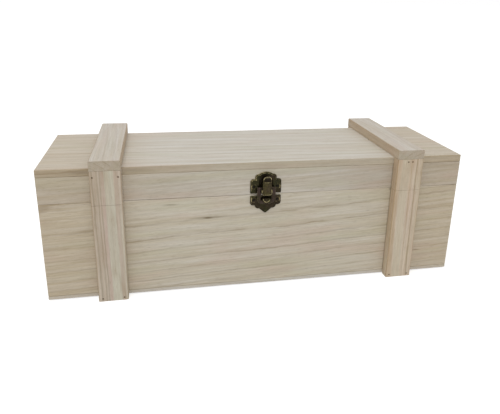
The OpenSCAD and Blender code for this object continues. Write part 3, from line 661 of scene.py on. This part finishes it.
def rolled_tab(x, half_width, start, up):
    """A tab of the leaf: a flat strip from the start height down to the pin's height, and then
    rolled round the pin. The strip's section, a rounded rectangle, is carried along that path,
    square to it, and the turn is the angle rolled so far."""
    flat_y, pin_y = LEAF_T / 2 + 0.01, 0.1 + ROLL_R + LEAF_T / 2
    flat_z, roll = np.linspace(start, 0.0, 5), np.linspace(0.15, ROLL_TURN, 26)
    turn = np.concatenate([np.zeros(len(flat_z)), roll])[:, None]
    y = np.concatenate([np.full(len(flat_z), flat_y), pin_y - ROLL_R * np.cos(roll)])[:, None]
    z = up * np.concatenate([flat_z, -ROLL_R * np.sin(roll)])[:, None]
    across, through = rounded_rectangle(half_width, LEAF_T / 2 - 0.02, (0.12, 0.12)).T
    rings = x + across, y - np.cos(turn) * through, z - up * np.sin(turn) * through
    return np.stack(np.broadcast_arrays(*rings), -1)


for side in ("left", "right"):
    for level, up in (("base", -1), ("lid", 1)):
        node = f"hinge_{side}_{level}_leaf"
        lo, hi = span(node)
        middle = np.array([(lo[0] + hi[0]) / 2, span(f"{level}_back_batten_{side}")[1][1], seam_z])
        half = (hi[0] - lo[0]) / 2 / MM
        tall = (seam_z - lo[2] if up < 0 else hi[2] - seam_z) / MM
        third = (2 * half - 2 * GAP) / 3
        outline = np.concatenate([
            [(half, NOTCH)], arc((half - LEAF_R, tall - LEAF_R), LEAF_R, 0, 90),
            arc((LEAF_R - half, tall - LEAF_R), LEAF_R, 90, 180), [(-half, NOTCH)],
        ])
        rings = slab(outline, 0.0, LEAF_T, LEAF_EASE)[..., [0, 2, 1]]
        rings[..., 2] *= up
        shells = [skin(rings * MM + middle, edge_wear(rings))]
        tabs = (0.0,) if up > 0 else (-(half - third / 2), half - third / 2)
        for tab in tabs:
            strip = rolled_tab(tab, third / 2, TAB_START, up)
            worn = np.linspace(0, 1, len(strip))[:, None] * 0.5
            shells.append(skin(strip * MM + middle, worn))
        piece(f"hinge_{side}_{level}_plate", shells, hinge_look, level, node)
    node = f"hinge_{side}_pin"
    lo, hi = span(node)
    length = (hi[0] - lo[0]) / MM
    bead = [(0, PIN_R), (0.08, 1.15), (0.25, BEAD_R), (0.5, 1.2), (0.5, PIN_R)]
    rod = skin(aimed(turned(bead + [(length - a, r) for a, r in bead[::-1]]), (1, 0, 0),
                     (lo[0], (lo[1] + hi[1]) / 2, seam_z)), 0.4)
    piece(f"hinge_{side}_rod", [rod], pin_look, "base", node)

# ---- Latch plates ----
# The latch is a pressed brass toggle in two halves, nailed over the seam. The lid's plate has a
# domed crest, two long bulges and the ears for the lever, and the base's plate has the hook.

PLATE_T, EDGE_R, PLATE_GAP = 0.9, 0.4, 1.0
BORDER_AT, BORDER_HALF, BORDER_H = 0.7, 0.42, 0.25
CORNER_R, LID_SIDE, BASE_SIDE = 2.4, 13.4, 9.4
NAIL_U, LID_NAIL_V, BASE_NAIL_V = 9.8, 6.9, -4.6
SEAT_R, SEAT_DEPTH, SEAT_RIM, SWELL_H = 1.9, 0.35, 2.1, 0.35
# The way that the plate's painted highlight faces: up and to the left.
HIGHLIGHT_WAY = (-0.45, 0.9)
PIVOT_V, PIVOT_H = 4.0, 4.5
lo, hi = span("latch_lid_plate")
latch_x, face_y = (lo[0] + hi[0]) / 2, span("lid_front_board")[0][1]
HALF_W = (hi[0] - lo[0]) / 2 / MM
POINT_V = (seam_z - span("latch_base_plate")[0][2]) / MM
around = np.linspace(0, 2 * math.pi, 300, endpoint=False)
ways = np.stack([np.cos(around), np.sin(around)], -1)


def on_latch(points):
    """Latch places, u across, v up from the seam and h out of the wood in mm, as the row's."""
    u, v, h = np.moveaxis(np.asarray(points, float), -1, 0)
    return np.stack([latch_x + u * MM, face_y - h * MM, seam_z + v * MM], -1)


def outline_reach(middle, up, side, circles, planes=()):
    """Distance from the middle to a pressed outline in each direction. The plate's body runs
    from its straight edge beside the seam to the height of its sides, with round corners. To it
    come circles (u, v, radius) and a wedge of planes (normal u, normal v, distance), which stand
    on both sides alike. The ray goes as far as the farthest point where it leaves one of them.
    Where two meet, a running mean blends them."""
    corner_u, corner_v = HALF_W - CORNER_R, up * (side - CORNER_R)
    reach = np.zeros(len(ways))
    for u, v, radius in (*circles, (corner_u, corner_v, CORNER_R)):
        for hand in (-1, 1):
            offset = np.array([hand * u, v]) - middle
            along = ways @ offset
            inside = radius**2 - (offset @ offset - along**2)
            leave = np.where(inside > 0, along + np.sqrt(np.maximum(inside, 0)), 0)
            reach = np.maximum(reach, leave)
    for half, end in ((HALF_W, corner_v), (corner_u, up * side)):
        with np.errstate(divide="ignore"):
            one, other = (np.array([[[-half, up * PLATE_GAP]], [[half, end]]]) - middle) / ways
        enter = np.maximum(np.minimum(one, other).max(1), 0)
        leave = np.maximum(one, other).min(1)
        reach = np.maximum(reach, np.where(leave > enter, leave, 0))
    if planes:
        planes = np.concatenate([planes, np.array(planes) * (-1, 1, 1)])
        facing = ways @ planes[:, :2].T
        free = planes[:, 2] - planes[:, :2] @ middle
        leave = np.where(facing > 1e-6, free / np.maximum(facing, 1e-6), np.inf).min(1)
        reach = np.maximum(reach, leave)
    with np.errstate(divide="ignore"):
        stop = (up * PLATE_GAP - middle[1]) / ways[:, 1]
    reach = np.minimum(reach, np.where(stop > 0, stop, np.inf))
    padded = np.concatenate([reach[-2:], reach, reach[:2]])
    return np.convolve(padded, (0.1, 0.2, 0.4, 0.2, 0.1), "valid")


def pressed_plate(middle, reach, nail_v, swell, bumps):
    """A stamped plate on a polar grid: rings run out over the face with its relief, over a low
    border, round the edge on a quarter circle, and back in under the plate. The relief is a
    swell (half width, middle, half height), a dished seat for each nail, and bumps on both sides,
    each a ball rolled from one height to another (u, from, to, radius, rise). The border and the
    rims of the seats are worn. A painted highlight brightens the border and the plate's edge
    where they face up and to the left, and leaves the rest of the edge dull."""
    quarter = np.linspace(0.3, math.pi / 2, 4)
    face = np.concatenate([[0.015], np.linspace(0.05, 1, 40)])
    share = np.concatenate([face, np.ones(4)])[:, None]
    back = EDGE_R * np.concatenate([np.ones(len(face)), 1 - np.sin(quarter)])[:, None]
    drop = EDGE_R * np.concatenate([np.zeros(len(face)), 1 - np.cos(quarter)])[:, None]
    border = np.exp(-((((1 - share) * reach - BORDER_AT) / BORDER_HALF) ** 2))
    u, v = np.moveaxis(middle + (share * (reach - back))[..., None] * ways, -1, 0)
    side = np.abs(u)
    seat = np.hypot(side - NAIL_U, v - nail_v)
    rise = SWELL_H * np.exp(-((u / swell[0]) ** 2 + ((v - swell[1]) / swell[2]) ** 2))
    rise += BORDER_H * border - SEAT_DEPTH * smooth(1 - seat / SEAT_R)
    for bump_u, low_v, high_v, ball_r, tall in bumps:
        away = np.hypot(side - bump_u, v - np.clip(v, low_v, high_v))
        rise += np.maximum(np.sqrt(np.maximum(ball_r**2 - away**2, 0)) - (ball_r - tall), 0)
    rubbed = 0.08 + 0.15 * rise + 0.45 * np.exp(-(((seat - SEAT_RIM) / 0.4) ** 2)) + 0.3 * border
    rubbed += 0.14 * np.clip((side - 7.5) / 1.5, 0, 1) - 0.9 * np.exp(-((seat / 1.3) ** 2))
    # Painted highlight: the border and the edge are brighter where they face up and to the left.
    lit = np.clip(0.55 + 0.5 * ways @ np.array(HIGHLIGHT_WAY), 0, 1)
    wear_and_light = np.where(drop < 0.05, np.clip(rubbed + 0.4 * border * lit**3, -1, 1), lit)
    under = middle + (reach - np.array([[0.0], [0.15]]))[..., None] * ways
    none = np.zeros(under.shape[:2])
    rings = np.concatenate([np.stack([u, v, PLATE_T + rise - drop], -1), np.dstack([under, none])])
    return skin(on_latch(rings), np.concatenate([wear_and_light, none + 0.2]))


DOME, SHOULDER = (0, 9.9, 9.6), (6.4, 14.9, 2.6)
LID_SWELL, LID_BOSS = (4.5, 16.5, 2.2), (NAIL_U, 3.7, 3.7, 0.8, 0.3)
BULGE = (6.6, 8.4, 12.4, 3.2, 1.2)
EAR_T, LUG_R, LEVER_W, SIDE_FIT = 0.75, 1.7, 7.2, 0.08
plate_look = dark_brass("latch_plate_brass", "#292313", "#2c2b16", "#2d2419", "#978b66", 3)
middle = np.array([0.0, 7.0])
reach = outline_reach(middle, 1, LID_SIDE, (DOME, SHOULDER))
shells = [pressed_plate(middle, reach, LID_NAIL_V, LID_SWELL, (BULGE, LID_BOSS))]
lug = np.concatenate([
    [(PIVOT_V + LUG_R, PLATE_T / 2)],
    arc((PIVOT_V, PIVOT_H), LUG_R, 0, 180, 15),
    [(PIVOT_V - LUG_R, PLATE_T / 2)],
])
ear = slab(lug, LEVER_W / 2 + SIDE_FIT, LEVER_W / 2 + SIDE_FIT + EAR_T, 0.2)
for side in (-1, 1):
    upright = np.stack([side * ear[..., 2], ear[..., 0], ear[..., 1]], -1)
    shells.append(skin(on_latch(upright), edge_wear(ear)))
piece("lid_latch_plate", shells, plate_look, "lid", "latch_lid_plate")

LOBE = (6.0, -9.4, 2.9)
ROOT_V, ROOT_HALF, TIP_HALF = -11.2, 6.5, 0.6
BASE_SWELL, BASE_BOSS = (3.2, -11.4, 1.8), (NAIL_U, -7.3, -7.3, 0.8, 0.3)
middle = np.array([0.0, -5.0])
slope = (ROOT_HALF - TIP_HALF) / (POINT_V + ROOT_V)
steep = math.hypot(1, slope)
flank = (1 / steep, -slope / steep, (TIP_HALF + slope * POINT_V) / steep)
point = (flank, (1, 0, ROOT_HALF), (0, -1, POINT_V))
reach = outline_reach(middle, -1, BASE_SIDE, (LOBE,), point)
shells = [pressed_plate(middle, reach, BASE_NAIL_V, BASE_SWELL, (BASE_BOSS,))]

HOOK_W, HOOK_T, HOOK_H, HOOK_TIP = 6.8, 0.8, 4.75, 6.3
FLARE, ARCH, ROOT, ARCH_SHARE = 0.7, 2.6, 1.2, 0.6
RIDGE_R, RIDGE_V, DISH = 2.7, -2.4, 0.42


def squared(wave, power):
    """A sine or cosine flattened, so that the circle of both turns into a squarish loop."""
    return np.sign(wave) * np.abs(wave) ** power


def hook_shell():
    """The hook's tongue: a section, a flattened superellipse with a dished face, is carried along
    an arch out of the plate, a straight leg and a flared lip. Below its middle the width follows
    the half circle of the tongue's end. A ridge in the shape of a U runs round the dish, worn and
    brightened further as a painted highlight."""
    s = np.linspace(0, 1, 44)[:, None]
    quarter = np.clip(s / ARCH_SHARE, 0, 1) * math.pi / 2
    out, down = np.sin(quarter), 1 - np.cos(quarter)
    leg = np.clip((s - ARCH_SHARE) / (1 - ARCH_SHARE), 0, 1)
    foot_h = PLATE_T / 2 + FLARE * np.clip((leg - 0.45) / 0.55, 0, 1) ** 1.5
    outer_h = foot_h + (HOOK_H + HOOK_T - PLATE_T / 2) * out
    inner_h = foot_h + (HOOK_H - PLATE_T / 2) * out
    leg_v = ARCH + PLATE_GAP - HOOK_TIP
    outer_v = -PLATE_GAP - ARCH * down + leg * (leg_v + 0.35)
    inner_v = -PLATE_GAP - ROOT - (ARCH - ROOT + HOOK_T) * down + leg * (leg_v + HOOK_T)
    half = HOOK_W / 2
    below = np.maximum(half - HOOK_TIP - 0.15 - (outer_v + inner_v) / 2, 0)
    angle = np.linspace(0, 2 * math.pi, 40, endpoint=False)
    u = np.sqrt(np.maximum(half**2 - below**2, 0.3)) * squared(np.cos(angle), 0.4)
    through = 0.5 - 0.5 * squared(np.sin(angle), 0.4)
    from_axis = np.hypot(u, np.minimum(outer_v - RIDGE_V, 0))
    dish = DISH * smooth((RIDGE_R - 0.35 - from_axis) / 0.6) * np.clip((s - 0.25) / 0.25, 0, 1)
    depth = through + dish * (through < 0.45) / HOOK_T
    v = outer_v + depth * (inner_v - outer_v)
    h = outer_h + depth * (inner_h - outer_h)
    # The U ridge is made bright as wear and as a painted highlight.
    ridge = np.exp(-(((from_axis - RIDGE_R) / 0.35) ** 2)) * np.clip((s - 0.2) / 0.3, 0, 1)
    return skin(on_latch(np.stack([u, v, h], -1)), 0.1 + 0.85 * ridge * (through < 0.6))


shells.append(hook_shell())
piece("base_latch_plate", shells, plate_look, "base", "latch_base_plate")

# ---- Latch lever ----
# The lever is bent from sheet into a channel with a pressed trough in its face. Its foot turns
# on the pin between the ears, and its tip flares out as a thumb lip.

LEVER_T, FOOT_R, FOOT_V, TIP_V, TIP_H, FLARE_L = 0.7, 2.2, 1.3, 17.8, 8.7, 4.4
TROUGH, LIP_T, TIP_R, TROUGH_SIDE = 0.7, 0.9, 3.3, 0.35
STEP_V, PANEL_RISE = 12.2, 0.25
STRAIGHT_RISE, BACK_RISE = 0.5, 2.6
RIM_R, BACK_R, FOOT_EASE = 0.3, 0.15, 0.12


def lever_shell():
    """The lever from rings by height. Each is a closed section: face with its trough, rounded
    rims, sides, and the hollow at the back. The foot's backs follow the circle round the pivot
    and end at the sheet's lower edge, and the tip narrows along its round corners."""
    flare_v = TIP_V - FLARE_L
    v = np.concatenate([
        FOOT_V + np.array([0, 0.04, 0.12, 0.25, 0.45, 0.6, 0.75, 0.9, 1.1, 1.4, 1.8, 2.3, 2.7]),
        np.linspace(PIVOT_V + 0.6, STEP_V, 9),
        STEP_V + np.array([0.1, 0.2, 0.3, 0.6]),
        np.linspace(flare_v + 0.4, TIP_V - 0.5, 12),
        TIP_V - 0.5 + 0.5 * np.sin(np.linspace(0.4, 1.45, 4)),
    ])[:, None]
    rise = np.clip((v - PIVOT_V) / (flare_v - PIVOT_V), 0, 1)
    flare = np.maximum(v - flare_v, 0) / FLARE_L
    foot_h = PIVOT_H + FOOT_R
    face_end = foot_h + STRAIGHT_RISE
    back_end = face_end - BACK_RISE
    face = foot_h + STRAIGHT_RISE * rise + (TIP_H - face_end) * flare**2
    back = PIVOT_H - FOOT_R + (back_end - PIVOT_H + FOOT_R) * rise
    back += (TIP_H - LIP_T - back_end) * (1 - (1 - flare) ** 2)
    below = np.maximum(PIVOT_V - v, 0)
    disc = PIVOT_H - np.sqrt(np.maximum(FOOT_R**2 - below**2, 0))
    low = np.minimum(1, below / (FOOT_R - 0.1)) ** 8
    back = np.where(v < PIVOT_V, disc + (foot_h - TROUGH - LEVER_T - disc) * low, back)
    near_end = np.maximum(FOOT_EASE - (v - FOOT_V), 0)
    eased = FOOT_EASE - np.sqrt(FOOT_EASE**2 - near_end**2)
    face, back = face - eased, back + eased
    top = np.maximum(v - (TIP_V - TIP_R), 0)
    half = LEVER_W / 2 - TIP_R + np.sqrt(np.maximum(TIP_R**2 - top**2, 0.02))
    inner = np.maximum(half - LEVER_T, 0.3)
    edge = np.minimum(RIM_R, (face - back) / 2.5)
    lip = TIP_V - v
    trough = TROUGH - PANEL_RISE * np.clip((STEP_V + 0.3 - v) / 0.3, 0, 1)
    trough *= np.clip((v - FOOT_V - 0.4) / 0.35, 0, 1) * np.clip((lip - 0.75) / 0.6, 0, 1)
    hollow = np.clip((v - PIVOT_V - 1.4) / 0.6, 0, 1) * np.clip((lip - 1.2) / 1.2, 0, 1)
    roof = back + np.maximum(0.04, (face - TROUGH - LEVER_T - back) * hollow)
    q = np.linspace(0, math.pi / 2, 4)
    s = np.linspace(0.25, 1, 4)
    floor_u = inner - TROUGH_SIDE
    blocks = (
        (np.linspace(0.05, 1, 4) * floor_u, face - trough),
        (floor_u + s * TROUGH_SIDE, face - trough * (1 - smooth(s))),
        (half - edge * (1 - np.sin(q)), face - edge * (1 - np.cos(q))),
        (half, face + (back - face) * np.array([0.4, 0.7])),
        (half - BACK_R * (1 - np.cos(q)), back + BACK_R * (1 - np.sin(q))),
        (half - LEVER_T + 0.1, back),
        (inner - 0.05, back + 0.1 * (roof - back)),
        (inner - 0.12, roof),
        (np.linspace(0.9, 0.05, 4) * (inner - 0.2), roof),
    )
    right = np.concatenate([np.stack(np.broadcast_arrays(*block), -1) for block in blocks], 1)
    u, h = np.moveaxis(np.concatenate([right, (right * (-1, 1))[:, ::-1]], 1), -1, 0)
    # Painted highlight: the rims grow brighter toward the tip's arch and at the foot.
    bright = np.clip((v - TIP_V + 3.6) / 1.2, 0, 1) + (v < FOOT_V + 0.5)
    rims = np.clip((h - face + 0.45) / 0.45, 0, 1) * (np.abs(u) > inner - 0.25)
    # Painted highlight: the tip's arched edge and the foot's lower edge.
    ends = (0.8 * (lip < 0.9) + 0.9 * (v < FOOT_V + 0.4)) * (h > face - 0.5)
    floor = (np.abs(h - face + trough) < 0.15) & (np.abs(u) < inner - 0.1) & (trough > 0.3)
    # Painted highlight: a bright line along the step. Painted shade: the dish above the step is
    # darkened.
    step = 0.6 * np.exp(-(((v - STEP_V) / 0.2) ** 2))
    wear_and_light = floor * (0.2 + step - 1.2 * np.clip((v - STEP_V) / 0.5, 0, 1))
    wear_and_light += np.clip(np.maximum(rims * (0.45 + 0.5 * bright), ends), 0, 1)
    return skin(on_latch(np.stack([u, np.broadcast_to(v, u.shape), h], -1)), wear_and_light)


lever_look = dark_brass("lever_brass", "#3f3821", "#423f25", "#3f3627", "#9a8f6b", 4)
piece("latch_thumb_lever", [lever_shell()], lever_look, "lever", "latch_lever")
reach_u = LEVER_W / 2 + SIDE_FIT + EAR_T
tip = [(reach_u, 0.35), (reach_u - 0.1, 0.6), (reach_u - 0.25, 0.7)]
pin = turned([(-a, r) for a, r in tip] + tip[::-1])
pin = skin(aimed(pin, (1, 0, 0), on_latch((0, PIVOT_V, PIVOT_H))), 0.5)
piece("latch_pin", [pin], pin_look, "lid", "latch_pivot_pin")

# ---- Latch bail ----
# A flat U with a crowned face. Its trunnions turn in the lever's sides, a little off the pivot,
# so that throwing the lever pulls the crossbar up into the hook.

BAIL_W, BAIL_T, CROWN, BAIL_R, EYE_R = 3.2, 1.3, 0.4, 1.6, 0.75
TRUNNION = (6.73, 4.15)
CROSSBAR = (-5.8, 3.05)
TRUNNION_R = 0.55


def bail_shell():
    """The bail's section, flat below and crowned above with rounded edges, carried down one arm,
    round a quarter circle, along the crossbar and back up, in the plane of the bail. The turn is
    the angle from the arm's own section."""
    drop = np.array(TRUNNION) - CROSSBAR
    length, lean = math.hypot(*drop), math.atan2(drop[1], drop[0])
    arm_u = LEVER_W / 2 + 2 * SIDE_FIT + EAR_T + BAIL_W / 2
    turn_r = BAIL_R + BAIL_W / 2
    eye, bend = np.linspace(1.5, 0, 6), np.linspace(0.2, math.pi / 2, 8)
    arm = np.linspace(-1, turn_r - length, 8)
    bar = np.linspace(turn_r - arm_u + 0.8, -0.8, 4)
    turn = np.concatenate([np.zeros(14), bend, np.full(4, math.pi / 2)])
    x = np.concatenate([np.full(14, -arm_u), turn_r * (1 - np.cos(bend)) - arm_u, bar])
    bend_y = turn_r * (1 - np.sin(bend)) - length
    y = np.concatenate([EYE_R * np.sin(eye), arm, bend_y, np.full(4, -length)])
    share = np.concatenate([np.maximum(np.cos(eye), 0.05), np.ones(20)])
    x = np.concatenate([x, -x[::-1]])[:, None]
    turn = np.concatenate([turn, math.pi - turn[::-1]])[:, None]
    y, share = (np.concatenate([part, part[::-1]])[:, None] for part in (y, share))
    angle = np.linspace(0, 2 * math.pi, 28, endpoint=False)
    across, up = squared(np.cos(angle), 0.45), squared(np.sin(angle), 0.55)
    thick = BAIL_T / 2 - CROWN * across**2 * np.clip(up, 0, 1)
    side = across * BAIL_W / 2
    u, y, h = x + side * np.cos(turn), y + side * np.sin(turn), up * thick * share
    v = TRUNNION[0] + y * math.cos(lean) - h * math.sin(lean)
    h = TRUNNION[1] + y * math.sin(lean) + h * math.cos(lean)
    wear_and_light = 0.15 + 0.75 * (up > 0) * np.abs(across) ** 6
    return skin(on_latch(np.stack([u, v, h], -1)), wear_and_light)


bail_look = dark_brass("bail_brass", "#372e24", "#35321d", "#3b2f2b", "#7b7054", 5)
shells = [bail_shell()]
stub_u = LEVER_W / 2 - LEVER_T
stub = turned([(stub_u, 0.4), (stub_u + 0.1, TRUNNION_R), (LEVER_W / 2 + 1.4, TRUNNION_R)], 16)
for side in (-1, 1):
    shells.append(skin(aimed(stub, (side, 0, 0), on_latch((0, *TRUNNION))), 0.2))
piece("latch_loop", shells, bail_look, "bail", "latch_bail")

# ---- Nails ----
# Small round-headed nails, darkened with the plates that they hold. Four hold the latch, and
# eight hold the hinges.

NAIL_R, HEAD_R, HEAD_T, NAIL_L = 0.6, 1.1, 0.45, 6.0
NAIL = [(-NAIL_L, 0.06), (1.2 - NAIL_L, NAIL_R), (-0.05, NAIL_R), (-0.05, HEAD_R - 0.1), (0.02, HEAD_R)]
NAIL += [(HEAD_T * math.sin(q), HEAD_R * math.cos(q)) for q in np.linspace(0.2, 1.45, 7)]
NAIL_PITCH = 3 * MM

nail_look = dark_brass("nail_brass", "#15110b", "#17150e", "#17120e", "#4a4331", 6)
for kind, out, sunk in (("latch", -1, 0.3), ("hinge", 1, 0.0)):
    for body in ("lid", "base"):
        shells = []
        for group in clumps(f"{kind}_{body}_nails", NAIL_PITCH):
            lo, hi = group.min(0), group.max(0)
            tip = lo[1] if out < 0 else hi[1]
            seat = ((lo[0] + hi[0]) / 2, tip - out * (HEAD_T + sunk) * MM, (lo[2] + hi[2]) / 2)
            shells.append(skin(aimed(turned(NAIL, 20), (0, out, 0), seat), 0.3))
        name, node = f"{body}_{kind}_nails", f"{kind}_{body}_nails"
        piece(name, shells, nail_look, body, node)

# ---- Floor, light and camera ----
# A plain pale floor, an even white sky, a wide soft lamp above the front and a fainter one
# straight ahead, which fills the corners beside the battens.

FLOOR_HALF, FLOOR_GREY, FLOOR_GLOW = 40.0, 0.7, 0.6
SKY_LIGHT = 0.65


def seen_directly(n):
    """1 for what the camera, a mirror or a glass shows, and 0 for light that falls on things."""
    path = n.node("LightPath", {}).outputs
    either = n.math("MAXIMUM", path["Is Camera Ray"], path["Is Glossy Ray"])
    return n.math("MAXIMUM", either, path["Is Transmission Ray"])


floor_mesh = bpy.data.meshes.new("floor")
corners = [(x * FLOOR_HALF, y * FLOOR_HALF, 0) for x, y in ((-1, -1), (1, -1), (1, 1), (-1, 1))]
floor_mesh.from_pydata(corners, [], [(0, 1, 2, 3)])
floor = placed("floor", floor_mesh)
n = Nodes(bpy.data.materials.new("floor_look"))
n.tree.nodes.remove(n.shader)
paper = n.node("BsdfDiffuse", {"Color": (FLOOR_GREY, FLOOR_GREY, FLOOR_GREY, 1)})
glow = n.node("Emission", {"Strength": n.math("MULTIPLY", seen_directly(n), FLOOR_GLOW)})
both = n.node("AddShader", {0: paper.outputs[0], 1: glow.outputs[0]})
n.put(n.tree.nodes["Material Output"].inputs["Surface"], both.outputs[0])
floor_mesh.materials.append(n.owner)

sky = bpy.data.worlds.new("sky")
bpy.context.scene.world = sky
n = Nodes(sky)
background = n.tree.nodes["Background"].inputs
background["Color"].default_value = (1, 1, 1, 1)
strength = n.node("MapRange", {"Value": seen_directly(n), "To Min": SKY_LIGHT, "To Max": 1.0})
n.put(background["Strength"], strength.outputs["Result"])


def lamp(name, size, watts, place):
    """A round soft lamp at the place that shines at the middle of the box."""
    data = bpy.data.lights.new(name, "AREA")
    data.shape = "DISK"
    data.size = size
    data.energy = watts
    holder = placed(name, data)
    holder.location = place
    aim = Vector((0, 0, 0.05)) - holder.location
    holder.rotation_euler = aim.to_track_quat("-Z", "Y").to_euler()


lamp("high_lamp", 1.2, 9, (-0.35, -0.5, 1.7))
lamp("front_lamp", 0.9, 3.4, (0.05, -1.7, 0.5))

FOCAL_PIXELS, AXIS_PIXELS, FRAME_PIXELS = 518.84, (15.6, 40.3), 500
CAMERA_PLACE = (-0.083444, -0.442622, 0.237081)
CAMERA_WAY, CAMERA_UP = (0.199930, 0.929323, -0.310462), (0.038162, 0.309233, 0.950220)
camera = bpy.data.cameras.new("camera")
camera.sensor_width = 36
camera.lens = FOCAL_PIXELS / FRAME_PIXELS * camera.sensor_width
camera.shift_x = -AXIS_PIXELS[0] / FRAME_PIXELS
camera.shift_y = -AXIS_PIXELS[1] / FRAME_PIXELS
tripod = placed("camera", camera)
bpy.context.scene.camera = tripod
backwards = -Vector(CAMERA_WAY).normalized()
right = Vector(CAMERA_UP).cross(backwards).normalized()
facing = Matrix((right, backwards.cross(right), backwards)).transposed().to_4x4()
tripod.matrix_world = Matrix.Translation(CAMERA_PLACE) @ facing

bpy.context.scene.view_settings.view_transform = "Standard"
